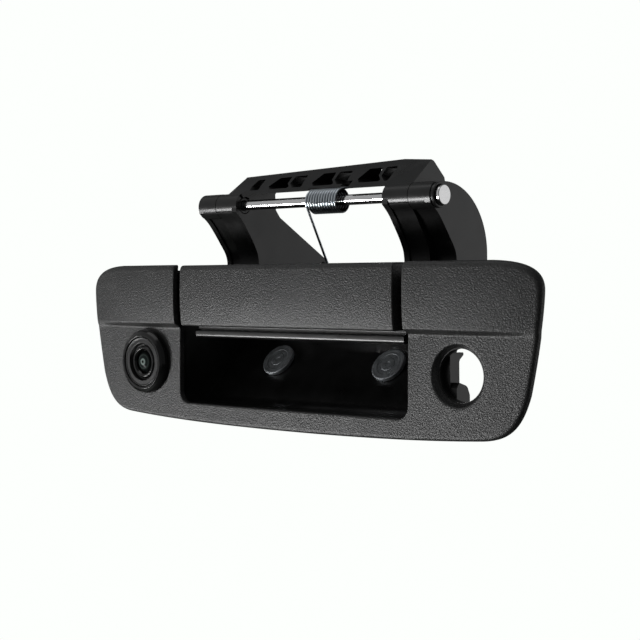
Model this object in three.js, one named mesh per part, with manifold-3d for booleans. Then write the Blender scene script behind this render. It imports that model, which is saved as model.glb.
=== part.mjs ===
// Tailgate handle with a built-in backup camera.
// Millimetres. +X is to the right as seen from behind the truck, +Y points into the tailgate, +Z is up.
// The origin is the middle of the lower rim's back face, which lies on the tailgate skin (y = 0).
import * as THREE from "three";
import Module from "manifold-3d";
import { mergeVertices } from "three/addons/utils/BufferGeometryUtils.js";

const wasm = await Module();
wasm.setup();

// ---- driving dimensions -------------------------------------------------------------------------
const GAP = 0.3; // clearance between neighbouring pieces
const BEZEL_HALF_WIDTH = 135;
const BEZEL_TOP = 73.2;
const BEZEL_BOTTOM = -2.8;
const SHELL = 2.6; // wall of the bezel's face and of the paddle
const LIP = 3; // the face's edge overhangs the rim by LIP_WIDTH and is this thick
const LIP_WIDTH = 2.6;
const RIM_WALL = 2.6;
const STEP_LOW = 42.4; // the face steps back between these two heights
const STEP_HIGH = 45.1;
const POCKET_HALF_WIDTH = 69.7;
const POCKET_BOTTOM = 6.7;
const POCKET_CORNER = 5.5;

const PIN = { y: 13, z: 101.4, r: 2.4 };
const KNUCKLE_R = 6;
const OUTER_ARM = { in: 59.15, out: 70.9 };
const INNER_ARM = { in: 45, out: 58.85 };
const ARM_WALL = 3;
const SIDE_WALL = 2.5;

const PADDLE = { halfWidth: 65.2, low: 43.9, high: 72.9, back: -3 };
const LINER = { halfWidth: 63.9, wall: 2.2, back: 22.5, top: 70 };

const SLOPE = THREE.MathUtils.degToRad(50); // the pocket's back wall above the horizontal
const STUD = { x: 34.2, y: 25, z: 25.6, headR: 8.5, headT: 2, r: 3, length: 26 };
const LOCK = { x: 95.2, z: 26.1, r: 11.4, chamferR: 12.4 };
const CAMERA = { x: -93.8, z: 25.6, faceY: -8 };

const COIL = { left: -0.3, right: 17.5, meanR: 5.3, wireR: 0.76, turns: 11 };

const ROUND = 32; // sides of a medium circle
const SMALL_ROUND = 18;

// ---- colours and finishes ---------------------------------------------------------------------
const finish = (color, roughness, metalness) => ({ color, roughness, metalness });
const GRAINED = finish(0x2b2b2d, 0.62, 0);
const SMOOTH_BLACK = finish(0x18181a, 0.38, 0);
const GLOSS_BLACK = finish(0x0a0a0b, 0.2, 0);
const RUBBER = finish(0x101010, 0.9, 0);
const CHROME = finish(0xe6e8ea, 0.12, 1);
const ZINC = finish(0xb9c0c6, 0.3, 1);
const DARK_STEEL = finish(0x4a4c4e, 0.35, 1);
const GLASS = finish(0x1a2426, 0.05, 0);
const BOARD_GREEN = finish(0x1c5a34, 0.6, 0);
const SILICON = finish(0x26282c, 0.25, 0.2);

// ---- solids -------------------------------------------------------------------------------------
// A closed three.js geometry as a manifold solid, whichever way its faces wind. `rise` lifts its
// corners by a height that depends on their x and z.
function solid(geometry, matrix, rise) {
  const bare = geometry.index ? geometry.toNonIndexed() : geometry.clone();
  bare.deleteAttribute("normal");
  bare.deleteAttribute("uv");
  if (matrix) bare.applyMatrix4(matrix);
  const corners = bare.attributes.position;
  for (let i = 0; rise && i < corners.count; i++) {
    corners.setZ(i, corners.getZ(i) + rise(corners.getX(i), corners.getZ(i)));
  }
  const merged = mergeVertices(bare, 1e-4);
  const index = merged.index.array;
  const kept = [];
  for (let i = 0; i < index.length; i += 3) {
    const [a, b, c] = [index[i], index[i + 1], index[i + 2]];
    if (a !== b && b !== c && a !== c) kept.push(a, b, c);
  }
  const numbers = { numProp: 3, vertProperties: merged.attributes.position.array };
  const made = new wasm.Manifold(new wasm.Mesh({ ...numbers, triVerts: new Uint32Array(kept) }));
  if (made.volume() > 0) return made;
  return new wasm.Manifold(new wasm.Mesh({ ...numbers, triVerts: new Uint32Array(kept.reverse()) }));
}

const union = (first, ...rest) => rest.reduce((a, b) => a.add(b), first);
const minus = (first, ...rest) => rest.reduce((a, b) => a.subtract(b), first);
const mirrorX = (made) => made.mirror([1, 0, 0]);

const root = new THREE.Group();

function node(name, made, look) {
  const { numProp, numVert, vertProperties, triVerts } = made.getMesh();
  const position = new Float32Array(numVert * 3);
  for (let i = 0; i < numVert; i++) {
    position.set(vertProperties.subarray(i * numProp, i * numProp + 3), i * 3);
  }
  const geometry = new THREE.BufferGeometry();
  geometry.setAttribute("position", new THREE.BufferAttribute(position, 3));
  geometry.setIndex(new THREE.BufferAttribute(triVerts, 1));
  geometry.computeVertexNormals();
  const mesh = new THREE.Mesh(geometry, new THREE.MeshStandardMaterial(look));
  mesh.name = name;
  root.add(mesh);
}

function polygon(points) {
  return new THREE.Shape(points.map(([a, b]) => new THREE.Vector2(a, b)));
}

const extrusion = (shape, depth, curveSegments = 12) =>
  new THREE.ExtrudeGeometry(shape, { depth, bevelEnabled: false, curveSegments });

const AXES = {
  x: new THREE.Vector3(1, 0, 0),
  y: new THREE.Vector3(0, 1, 0),
  z: new THREE.Vector3(0, 0, 1),
};

// A (y, z) outline drawn out along X.
function alongX(shape, x0, x1, segments, rise) {
  const turn = new THREE.Matrix4().makeBasis(AXES.y, AXES.z, AXES.x);
  turn.setPosition(x0, 0, 0);
  return solid(extrusion(shape, x1 - x0, segments), turn, rise);
}

// An (x, z) outline drawn out along Y.
function alongY(shape, y0, y1, segments, rise) {
  const turn = new THREE.Matrix4().makeBasis(AXES.x, AXES.z, AXES.y.clone().negate());
  turn.setPosition(0, y1, 0);
  return solid(extrusion(shape, y1 - y0, segments), turn, rise);
}

// An (x, y) outline drawn out along Z.
function alongZ(shape, z0, z1) {
  return solid(extrusion(shape, z1 - z0), new THREE.Matrix4().makeTranslation(0, 0, z0));
}

function box(x0, x1, y0, y1, z0, z1) {
  const geometry = new THREE.BoxGeometry(x1 - x0, y1 - y0, z1 - z0);
  geometry.translate((x0 + x1) / 2, (y0 + y1) / 2, (z0 + z1) / 2);
  return solid(geometry);
}

// A closed profile of [radius, distance along the axis], turned about a line through `at`.
function turned(profile, at, direction, sides = ROUND) {
  const points = profile.map(([r, h]) => new THREE.Vector2(Math.max(r, 0), h));
  const first = points[0];
  const last = points[points.length - 1];
  if (first.x > 0 || last.x > 0) points.push(first.clone());
  const spin = new THREE.Quaternion().setFromUnitVectors(AXES.y, direction.clone().normalize());
  const matrix = new THREE.Matrix4().compose(at, spin, new THREE.Vector3(1, 1, 1));
  return solid(new THREE.LatheGeometry(points, sides), matrix);
}

const rod = (r, from, to, at, direction, sides) =>
  turned([[0, from], [r, from], [r, to], [0, to]], at, direction, sides);
const tube = (inner, outer, from, to, at, direction, sides) =>
  turned([[inner, from], [outer, from], [outer, to], [inner, to]], at, direction, sides);

const pinLine = new THREE.Vector3(0, PIN.y, PIN.z);
const pinRod = (r, x0, x1, sides = ROUND) => rod(r, x0, x1, pinLine, AXES.x, sides);

// ---- the bezel's outline and faces ------------------------------------------------------------
function bezelShape() {
  const half = (side) => [
    [[side * 50, BEZEL_BOTTOM], [side * 80, -1.9], [side * 107, 0.1]],
    [[side * 120, 1.1], [side * 125, 8], [side * 128.6, 19.5]],
    [[side * 131.6, 33], [side * 134.6, 50], [side * BEZEL_HALF_WIDTH, 60.5]],
    [[side * 135.3, 68.6], [side * 128.5, 72.7], [side * 112, BEZEL_TOP]],
  ];
  const shape = new THREE.Shape();
  shape.moveTo(0, BEZEL_BOTTOM);
  for (const [a, b, c] of half(1)) shape.bezierCurveTo(...a, ...b, ...c);
  const left = half(-1);
  shape.lineTo(...left[3][2]);
  const starts = [[0, BEZEL_BOTTOM], left[0][2], left[1][2], left[2][2]];
  for (let i = 3; i >= 0; i--) {
    const [a, b] = left[i];
    shape.bezierCurveTo(...b, ...a, ...starts[i]);
  }
  return shape;
}

// The outline's points moved inwards by a distance.
function insetShape(shape, distance, divisions = 10) {
  const points = shape.extractPoints(divisions).shape;
  const unique = points.filter((p, i) => p.distanceTo(points[(i + 1) % points.length]) > 0.05);
  const moved = unique.map((p, i) => {
    const before = unique[(i + unique.length - 1) % unique.length];
    const after = unique[(i + 1) % unique.length];
    const along = after.clone().sub(before).normalize();
    return new THREE.Vector2(p.x - along.y * distance, p.y + along.x * distance);
  });
  return new THREE.Shape(moved);
}

const bow = (x) => 1 - (x / BEZEL_HALF_WIDTH) ** 2;
const WING_END = { from: 100, fall: 1 }; // both faces fall back over the last stretch of a wing
const endFall = (x) => {
  const share = Math.max(Math.abs(x) - WING_END.from, 0) / (BEZEL_HALF_WIDTH - WING_END.from);
  return WING_END.fall * share ** 2;
};
const upperFace = (x) => -7.9 - 5.4 * bow(x) + endFall(x);
const lowerFace = (x) => -7.8 - 1.8 * Math.max(bow(x), 0) ** 3 + endFall(x);
const stepped = (x, z) => (z < (STEP_LOW + STEP_HIGH) / 2 ? lowerFace(x) : upperFace(x));

// A block whose front follows `front(x, z)`; it has a row of corners at each given height.
function facedBlock(x0, x1, levels, front, back, columns) {
  const rows = levels.length - 1;
  const geometry = new THREE.BoxGeometry(1, 1, 1, columns, 1, rows);
  const at = geometry.attributes.position;
  for (let i = 0; i < at.count; i++) {
    const x = x0 + (x1 - x0) * (at.getX(i) + 0.5);
    const z = levels[Math.round((at.getZ(i) + 0.5) * rows)];
    at.setXYZ(i, x, at.getY(i) < 0 ? front(x, z) : back, z);
  }
  return solid(geometry);
}

const FACE_COLUMNS = 26;
const RIM_START = OUTER_ARM.out + SIDE_WALL + 0.4;
const beyond = BEZEL_HALF_WIDTH + 1;

function bezelBody() {
  const levels = [BEZEL_BOTTOM - 1, STEP_LOW, STEP_HIGH, BEZEL_TOP + 1];
  const outer = facedBlock(-beyond, beyond, levels, stepped, 0, FACE_COLUMNS);
  const behind = (distance) => (x, z) => stepped(x, z) + distance;
  const inner = facedBlock(-beyond, beyond, levels, behind(SHELL), 2, FACE_COLUMNS);
  const underLip = facedBlock(-beyond, beyond, levels, behind(LIP), 2, FACE_COLUMNS);
  const outline = bezelShape();
  const rim = alongY(insetShape(outline, LIP_WIDTH), -20, 5);
  const inside = alongY(insetShape(outline, LIP_WIDTH + RIM_WALL), -20, 5);
  // the rim stops short of the handle base's side walls on both sides of the paddle
  const wallSpace = box(-RIM_START, RIM_START, -6.8, 1, 60, 75);
  return minus(
    outer.intersect(alongY(outline, -20, 5, 10)),
    inner.intersect(inside),
    minus(underLip, rim),
    wallSpace,
  );
}

// The pocket's opening: square above, with two rounded lower corners.
function pocketShape() {
  const w = POCKET_HALF_WIDTH;
  const r = POCKET_CORNER;
  const top = BEZEL_TOP + 5;
  const shape = new THREE.Shape();
  shape.moveTo(-w, top);
  shape.lineTo(-w, POCKET_BOTTOM + r);
  shape.absarc(-w + r, POCKET_BOTTOM + r, r, Math.PI, 1.5 * Math.PI, false);
  shape.absarc(w - r, POCKET_BOTTOM + r, r, 1.5 * Math.PI, 2 * Math.PI, false);
  shape.lineTo(w, top);
  return shape;
}

const lockCentre = new THREE.Vector3(LOCK.x, 0, LOCK.z);
const cameraCentre = new THREE.Vector3(CAMERA.x, 0, CAMERA.z);

// Screws that hold the handle base to the bezel from behind: [x, z, how far forward the shank goes].
const BEZEL_SCREWS = [
  [-79, 13, -6.4],
  [79, 13, -6.4],
  [-79, 58, -9],
  [79, 58, -9],
];
const EAR = { front: -3.5, back: -1.7 };
const SCREW = { r: 1.2, headR: 2.6, headT: 1.5 };

function bezelBoss([x, z]) {
  const root = stepped(x, z) + SHELL / 2;
  return rod(3.4, root, EAR.front - GAP, new THREE.Vector3(x, 0, z), AXES.y, SMALL_ROUND);
}

function makeBezel() {
  const lockHole = turned(
    [[0, -20], [LOCK.chamferR + 3, -20], [LOCK.chamferR, -7.9], [LOCK.r, -6.5], [LOCK.r, 5], [0, 5]],
    lockCentre,
    AXES.y,
    40,
  );
  const cameraHole = rod(13.8, -20, 5, cameraCentre, AXES.y);
  const shanks = BEZEL_SCREWS.map(([x, z, tip]) =>
    rod(SCREW.r + GAP, tip - GAP, 1, new THREE.Vector3(x, 0, z), AXES.y, SMALL_ROUND),
  );
  const cut = minus(bezelBody(), alongY(pocketShape(), -30, 5, 6), lockHole, cameraHole);
  node("bezel", minus(union(cut, ...BEZEL_SCREWS.map(bezelBoss)), ...shanks), GRAINED);
}

// ---- handle base: finger pocket, side walls and the two outer arms ------------------------------
const alongWall = [Math.cos(SLOPE), Math.sin(SLOPE)];
const wallPoint = (z) => [STUD.y + ((z - STUD.z) / alongWall[1]) * alongWall[0], z];
const POCKET_FLOOR = 6.2;
const BASE_WALL = 2.5;
const SCOOP_TOP = 48;

// The scoop's wall in side view: floor, rounded heel, then the sloped back.
function scoopShape() {
  const [heelY] = wallPoint(POCKET_FLOOR);
  const [topY] = wallPoint(SCOOP_TOP);
  const shape = new THREE.Shape();
  shape.moveTo(EAR.front, POCKET_FLOOR);
  shape.lineTo(heelY - 5, POCKET_FLOOR);
  shape.quadraticCurveTo(heelY, POCKET_FLOOR, ...wallPoint(POCKET_FLOOR + 3.5));
  shape.lineTo(topY, SCOOP_TOP);
  shape.lineTo(topY + BASE_WALL * 1.3, SCOOP_TOP);
  shape.lineTo(wallPoint(POCKET_FLOOR + 3.5)[0] + BASE_WALL * 1.3, POCKET_FLOOR + 3.5);
  shape.quadraticCurveTo(heelY + 1, POCKET_FLOOR - BASE_WALL, heelY - 5, POCKET_FLOOR - BASE_WALL);
  shape.lineTo(EAR.front, POCKET_FLOOR - BASE_WALL);
  return shape;
}

// The arms' front edges from the knuckle down. The moving arms' edge lies a little in front.
const FIXED_FRONT = [
  [7.6, 98.2],
  [13.2, 93.8],
  [17.8, 88.4],
  [21.9, 82.9],
  [24.7, 79],
  [26.1, 75.5],
  [26.4, 72],
];
const MOVING_FRONT = [
  [7, 98.2],
  [11.2, 94.3],
  [14.8, 89.5],
  [18, 84.8],
  [20.4, 80.8],
  [21.8, 77.6],
  [22.4, 74],
];
const ARM_BACK_ARC = { y: 18.5, z: 76.5, r: 31 };

function cPlateShape(low) {
  const { y, z, r } = ARM_BACK_ARC;
  const shape = new THREE.Shape();
  shape.moveTo(FIXED_FRONT[FIXED_FRONT.length - 1][0], low);
  for (const [a, b] of [...FIXED_FRONT].reverse()) shape.lineTo(a, b);
  shape.lineTo(PIN.y - KNUCKLE_R, PIN.z);
  shape.lineTo(PIN.y, PIN.z + KNUCKLE_R);
  shape.lineTo(y, z + r);
  shape.absarc(y, z, r, Math.PI / 2, 0, true);
  shape.lineTo(y + r, low);
  return shape;
}

// A strip behind an arm's front edge, which goes straight down to `low`.
function armStripShape(edge, low) {
  const front = [...edge, [edge[edge.length - 1][0], low]];
  const back = front.map(([a, b], i) => {
    const before = front[Math.max(i - 1, 0)];
    const after = front[Math.min(i + 1, front.length - 1)];
    const dy = after[0] - before[0];
    const dz = after[1] - before[1];
    const length = Math.hypot(dy, dz);
    return [a - (dz / length) * ARM_WALL, b + (dy / length) * ARM_WALL];
  });
  return polygon([...front, ...back.reverse()]);
}

function outerArm() {
  const { in: inner, out } = OUTER_ARM;
  return union(
    alongX(cPlateShape(40), out - ARM_WALL, out, 16),
    alongX(armStripShape(FIXED_FRONT, 46), inner + 0.5, out),
    pinRod(KNUCKLE_R, inner, out),
  );
}

// Behind y = `from` the pocket's ends draw in, below a ledge.
const TAPER = { from: 6, slope: 0.26, back: 50 };
const LEDGE = { z: 38.5, thickness: 1.3 };
const POCKET_END = OUTER_ARM.out - 0.2;
const endAt = (y) => POCKET_END - Math.max(y - TAPER.from, 0) * TAPER.slope;

// The upper side wall, the drawn-in lower wall and the ledge between them.
function baseSide() {
  const outer = POCKET_END + 0.2 + SIDE_WALL;
  const ledgeBack = wallPoint(LEDGE.z)[0] + 1;
  const foot = POCKET_FLOOR - BASE_WALL + 0.3;
  const upper = polygon([
    [EAR.front, LEDGE.z - 0.5],
    [EAR.front, 44],
    [-6.4, 47],
    [-6.4, 69.4],
    [30, 69.4],
    [30, 71],
    [49.5, 71],
    [49.5, 40],
    [ledgeBack, LEDGE.z],
    [TAPER.from - 1, LEDGE.z],
    [TAPER.from - 1, LEDGE.z - 0.5],
  ]);
  const lower = polygon([
    [EAR.front, foot],
    [EAR.front, LEDGE.z + 0.5],
    [ledgeBack, LEDGE.z + 0.5],
    [wallPoint(9)[0] + 1, 9],
    [wallPoint(9)[0] - 1, foot],
  ]);
  const wallPlan = [TAPER.back, TAPER.from, EAR.front - 1].map((y) => [endAt(y), y]);
  const outerPlan = wallPlan.map(([x, y]) => [x + SIDE_WALL, y]).reverse();
  const slanted = alongX(lower, endAt(TAPER.back) - 1, outer + 1)
    .intersect(alongZ(polygon([...wallPlan, ...outerPlan]), 0, LEDGE.z + 0.5));
  const ledge = polygon([
    [POCKET_END + 1, TAPER.from + 0.5],
    [POCKET_END + 1, ledgeBack + 0.6],
    [endAt(ledgeBack) + 0.5, ledgeBack + 0.6],
    [POCKET_END + 0.4, TAPER.from + 0.5],
  ]);
  const ears = BEZEL_SCREWS.filter(([x]) => x > 0)
    .map(([x, z]) => box(POCKET_END + 1, x + 4, EAR.front, EAR.back, z - 4.5, z + 4.5));
  return union(
    alongX(upper, POCKET_END, outer),
    slanted,
    alongZ(ledge, LEDGE.z - 0.3, LEDGE.z + LEDGE.thickness),
    ...ears,
  );
}

// The scoop as wide as the pocket: full width above the ledge, drawn in below it.
function scoopBody() {
  const full = alongX(scoopShape(), -OUTER_ARM.out, OUTER_ARM.out, 5);
  const right = [EAR.front - 1, TAPER.from, TAPER.back].map((y) => [endAt(y) + 0.2, y]);
  const left = right.map(([x, y]) => [-x, y]).reverse();
  const lower = full.intersect(alongZ(polygon([...right, ...left]), 0, LEDGE.z + 0.5));
  const upper = full.intersect(box(-80, 80, 0, TAPER.back, LEDGE.z, SCOOP_TOP + 1));
  return union(lower, upper);
}

const studAxis = new THREE.Vector3(0, alongWall[1], -alongWall[0]); // into the tailgate
const studSeat = (x) => new THREE.Vector3(x, STUD.y, STUD.z);

const springFoot = { y: 38.2, z: 42.7 };

function makeHandleBase() {
  const side = union(baseSide(), outerArm());
  const scoop = scoopBody();
  const studHoles = [-1, 1].map((s) =>
    rod(STUD.r + GAP, -8, 12, studSeat(s * STUD.x), studAxis, SMALL_ROUND),
  );
  const screwHoles = BEZEL_SCREWS.map(([x, z]) =>
    rod(SCREW.r + GAP, -6, 1, new THREE.Vector3(x, 0, z), AXES.y, SMALL_ROUND),
  );
  const made = union(scoop, side, mirrorX(side));
  const pinBore = pinRod(PIN.r + GAP, -80, 80, SMALL_ROUND);
  node("handle_base", minus(made, pinBore, ...studHoles, ...screwHoles), SMOOTH_BLACK);
}

function makeBezelScrews() {
  BEZEL_SCREWS.forEach(([x, z, tip], i) => {
    const at = new THREE.Vector3(x, 0, z);
    const head = EAR.back + GAP;
    const profile = [
      [0, tip],
      [SCREW.r, tip + 0.6],
      [SCREW.r, head],
      [SCREW.headR, head],
      [SCREW.headR, head + SCREW.headT - 0.6],
      [SCREW.headR - 0.8, head + SCREW.headT - 0.2],
      [0, head + SCREW.headT - 0.2],
    ];
    node(`bezel_screw_${i + 1}`, turned(profile, at, AXES.y, SMALL_ROUND), ZINC);
  });
}

// ---- studs, washers and nuts --------------------------------------------------------------------
function makeStuds() {
  const { headR, headT, r, length } = STUD;
  const seatOut = -GAP;
  for (const [side, s] of [["left", -1], ["right", 1]]) {
    const at = studSeat(s * STUD.x);
    const head = [
      [0, seatOut - headT],
      [headR - 0.7, seatOut - headT],
      [headR, seatOut - headT + 0.6],
      [headR, seatOut],
      [r, seatOut],
      [r, length - 1],
      [r - 1, length],
      [0, length],
    ];
    node(`mounting_stud_${side}`, turned(head, at, studAxis), DARK_STEEL);
    const wallBack = BASE_WALL * 1.3 * alongWall[1] + GAP;
    node(
      `stud_washer_${side}`,
      tube(r + GAP, 7.6, wallBack, wallBack + 1.5, at, studAxis, 24),
      RUBBER,
    );
    const nutFrom = wallBack + 1.5 + GAP;
    const flange = tube(r + GAP, 7, nutFrom, nutFrom + 1.2, at, studAxis, 24);
    const hexagon = turned(
      [[0, nutFrom + 1], [5.6, nutFrom + 1], [5.6, nutFrom + 6], [0, nutFrom + 6]],
      at,
      studAxis,
      6,
    );
    const bore = rod(r + GAP, 0, 20, at, studAxis, 24);
    node(`flange_nut_${side}`, minus(union(flange, hexagon), bore), ZINC);
  }
}

// ---- hinge pin, its retainer and the return spring ----------------------------------------------
function makeHinge() {
  const headIn = OUTER_ARM.out + GAP;
  const headOut = 74.6;
  const tip = -73.6;
  const profile = [
    [0, tip],
    [PIN.r - 0.6, tip],
    [PIN.r, tip + 0.6],
    [PIN.r, headIn],
    [4.33, headIn],
    [4.33, headOut - 0.5],
    [3.9, headOut],
    [0, headOut],
  ];
  node("hinge_pin", turned(profile, pinLine, AXES.x), CHROME);
  const ring = tube(PIN.r + GAP, 4.6, -OUTER_ARM.out - 1.4, -OUTER_ARM.out - GAP, pinLine, AXES.x, 24);
  node("pin_retainer", ring, ZINC);
}

const springPoint = (x, angle, r = COIL.meanR) =>
  new THREE.Vector3(x, PIN.y + r * Math.cos(angle), PIN.z + r * Math.sin(angle));

// The wire's centre line: foot on the scoop wall, close-wound coil, then the hook under the bar.
function springPath() {
  const { left, right, turns } = COIL;
  const foot = new THREE.Vector3(left, springFoot.y, springFoot.z);
  const legAngle = Math.atan2(springFoot.z - PIN.z, springFoot.y - PIN.y);
  const reach = Math.hypot(springFoot.z - PIN.z, springFoot.y - PIN.y);
  const start = legAngle - Math.acos(COIL.meanR / reach);
  const points = [];
  for (let i = 0; i <= 10; i++) {
    points.push(foot.clone().lerp(springPoint(left, start), i / 10.6));
  }
  const stepsPerTurn = 14;
  const sweep = 2 * Math.PI * turns + 1.9;
  const steps = Math.round((sweep / (2 * Math.PI)) * stepsPerTurn);
  for (let i = 0; i <= steps; i++) {
    const t = i / steps;
    points.push(springPoint(left + (right - left) * t, start - sweep * t));
  }
  const end = start - sweep;
  const tangent = new THREE.Vector3(0, Math.sin(end), -Math.cos(end));
  for (const reachOut of [2.5, 5, 7.5]) {
    points.push(springPoint(right + 0.15 * reachOut, end).addScaledVector(tangent, reachOut));
  }
  return points;
}

function makeSpring() {
  const path = new THREE.CatmullRomCurve3(springPath(), false, "centripetal");
  const section = new THREE.Shape();
  section.absarc(0, 0, COIL.wireR, 0, 2 * Math.PI, false);
  const geometry = new THREE.ExtrudeGeometry(section, {
    steps: 200,
    extrudePath: path,
    curveSegments: 3,
    bevelEnabled: false,
  });
  node("torsion_spring", solid(geometry), ZINC);
}

// ---- the moving lever ---------------------------------------------------------------------------
const BAR_FOOT = 106.3;
const BAR_TOP = 116.7;
const BAR_PROFILE = [
  [10.3, BAR_FOOT],
  [24.9, BAR_TOP],
  [26.6, 116.2],
  [34.2, 110],
  [34.6, 108.7],
];
const ROOT_LOW = 60.5;

// The bar's top edge rises from its left end to its right end, then falls over the last stretch.
function barRise(x, z) {
  const share = Math.max(z - BAR_FOOT, 0) / (BAR_TOP - BAR_FOOT);
  const top = x <= INNER_ARM.in + ARM_WALL ? 0.9 + 0.0306 * x : 0;
  return share * top;
}

// The moving arm's plate: bar end on top, knuckle in front, long tail behind, root to the paddle.
function gussetShape() {
  return polygon([
    [PIN.y - KNUCKLE_R + 0.6, PIN.z + 2.6],
    ...BAR_PROFILE,
    [35, 99.7],
    [37.8, 96.1],
    [72, 75.2],
    [76, 71.5],
    [74, 69],
    [48, 66],
    [36, ROOT_LOW],
    [0, ROOT_LOW],
    [0, 71.5],
    [MOVING_FRONT[MOVING_FRONT.length - 1][0], 71.5],
    ...[...MOVING_FRONT].reverse(),
    [PIN.y - KNUCKLE_R, PIN.z],
  ]);
}

// The arm on one side (-1 left, 1 right); the bar's end block reaches out to `blockOut`.
function leverArm(side, blockOut) {
  const { in: inner, out } = INNER_ARM;
  const endBlock = polygon([...BAR_PROFILE, [33, 106.5], [12, 104]]);
  const rise = (x, z) => barRise(side * x, z);
  const made = union(
    alongX(gussetShape(), inner, inner + ARM_WALL, 12, rise),
    alongX(armStripShape(MOVING_FRONT, 72), inner, out - 0.2),
    alongX(endBlock, inner, blockOut, 12, rise),
    pinRod(KNUCKLE_R, inner, out),
  );
  const rodEye = rod(2.6, inner - 1, inner + 5, new THREE.Vector3(0, 69.5, 71.5), AXES.x, SMALL_ROUND);
  const arm = minus(made, pinRod(BUSH.outer + GAP, inner - 1, out + 1), rodEye);
  return side < 0 ? mirrorX(arm) : arm;
}

const BUSH = { inner: PIN.r + 0.15, outer: 3.8 };
const LEFT_BLOCK_OUT = 54.5;

function makeLeverArms() {
  const { in: inner, out } = INNER_ARM;
  node("lever_arm_right", leverArm(1, out), SMOOTH_BLACK);
  node("lever_arm_left", leverArm(-1, LEFT_BLOCK_OUT), SMOOTH_BLACK);
  const bush = tube(BUSH.inner, BUSH.outer, inner, out, pinLine, AXES.x, 28);
  node("pivot_bushing_right", bush, SMOOTH_BLACK);
  node("pivot_bushing_left", mirrorX(bush), SMOOTH_BLACK);
}

// Two pockets of the bar's truss, as (x, z) offsets from the start of one bay.
const BAY_PITCH = 27.7;
const BAY_STARTS = [-58, -30.3, -2.6, 25.1];
const POCKET_A = [[1.8, 114.1], [9.4, 114.1], [10.5, 110.8], [14.5, 108.5], [1.5, 108.5], [-1, 110]];
const POCKET_B = [[11.6, 114.1], [19.6, 114.1], [20.5, 110.8], [22, 108.5], [16, 108.5], [12.2, 110.6]];
const POCKET_DEPTH_Y = 30;
const BAR_HALF = INNER_ARM.in - GAP;

function makeLeverBar() {
  const profile = polygon(BAR_PROFILE);
  const bar = alongX(profile, -BAR_HALF, BAR_HALF, 12, barRise);
  const pockets = BAY_STARTS.flatMap((start) =>
    [POCKET_A, POCKET_B].map((outline) => {
      const moved = outline.map(([x, z]) => [x + start, z]);
      return alongY(polygon(moved), 0, POCKET_DEPTH_Y, 12, barRise);
    }),
  );
  const edge = BAR_HALF - 1.5;
  const kept = box(-edge, edge, -5, 60, 90, 130);
  const hookNotch = box(COIL.right - 0.5, COIL.right + 4.5, 5, 24, 100, 109.6);
  const coilTop = PIN.z + COIL.meanR + COIL.wireR + GAP;
  const coilNotch = box(COIL.left - 1.8, COIL.right, 5, 22, 100, coilTop);
  const cut = pockets.map((pocket) => pocket.intersect(kept));
  node("lever_bar", minus(bar, hookNotch, coilNotch, ...cut), SMOOTH_BLACK);
}

// ---- paddle, its liner and screws -----------------------------------------------------------------
const PADDLE_SCREWS = [-52, -18, 18, 52];
const PADDLE_SCREW_Z = 65;

function makePaddle() {
  const { halfWidth, low, high, back } = PADDLE;
  const outer = facedBlock(-halfWidth, halfWidth, [low, high], upperFace, back, 16);
  const w = halfWidth - SHELL;
  const behind = (x) => upperFace(x) + SHELL;
  const hollow = facedBlock(-w, w, [low + SHELL, high - SHELL], behind, back + 2, 16);
  const bosses = PADDLE_SCREWS.map((x) =>
    rod(2.8, -12, back, new THREE.Vector3(x, 0, PADDLE_SCREW_Z), AXES.y, SMALL_ROUND),
  );
  const holes = PADDLE_SCREWS.map((x) =>
    rod(SCREW.r + GAP, -8.2, 2, new THREE.Vector3(x, 0, PADDLE_SCREW_Z), AXES.y, SMALL_ROUND),
  );
  const clipped = bosses.map((boss) => {
    const face = facedBlock(-halfWidth, halfWidth, [low, high], (x) => upperFace(x) + 1, back, 16);
    return boss.intersect(face);
  });
  node("paddle", minus(union(minus(outer, hollow), ...clipped), ...holes), GRAINED);
}

// The liner in side view: back plate of the paddle, finger lip, then the pocket's ceiling.
const LINER_FRONT = PADDLE.back + GAP;
const LIP_PATH = [
  [LINER_FRONT, 43.8],
  [LINER_FRONT + 1.5, 43.3],
  [LINER_FRONT + 1.5, 42],
  [LINER_FRONT, 41.3],
  [LINER_FRONT + 0.2, 40.2],
  [LINER_FRONT + 0.8, 39],
  [LINER_FRONT + 2.2, 38],
  [2.5, 38],
  [4.5, 40],
  [8.5, 54.5],
  [11, 57],
  [LINER.back, 58],
];
const LIP_INNER = [
  [LINER.back, 60.2],
  [10.2, 59.4],
  [6.6, 56],
  [2.6, 41.2],
  [2.2, 40.6],
  [0.9, 40.6],
  [0.9, 44.6],
  [LINER_FRONT + LINER.wall, 46],
];

function makeLiner() {
  const { halfWidth, wall, top, back } = LINER;
  const skin = polygon([
    [LINER_FRONT, top],
    ...LIP_PATH,
    ...LIP_INNER,
    [LINER_FRONT + wall, top],
  ]);
  const cap = polygon([[LINER_FRONT, top], ...LIP_PATH, [back, top]]);
  const caps = [-halfWidth, halfWidth - wall].map((x) => alongX(cap, x, x + wall));
  const holes = PADDLE_SCREWS.map((x) =>
    rod(SCREW.r + GAP, -8, 2, new THREE.Vector3(x, 0, PADDLE_SCREW_Z), AXES.y, SMALL_ROUND),
  );
  node("paddle_liner", minus(union(alongX(skin, -halfWidth, halfWidth), ...caps), ...holes), SMOOTH_BLACK);
}

function makePaddleScrews() {
  const head = LINER_FRONT + LINER.wall + GAP;
  PADDLE_SCREWS.forEach((x, i) => {
    const profile = [
      [0, -7.6],
      [SCREW.r, -7],
      [SCREW.r, head],
      [SCREW.headR, head],
      [SCREW.headR, head + SCREW.headT - 0.5],
      [SCREW.headR - 0.8, head + SCREW.headT],
      [0, head + SCREW.headT],
    ];
    const at = new THREE.Vector3(x, 0, PADDLE_SCREW_Z);
    node(`paddle_screw_${i + 1}`, turned(profile, at, AXES.y, SMALL_ROUND), ZINC);
  });
}

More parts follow.
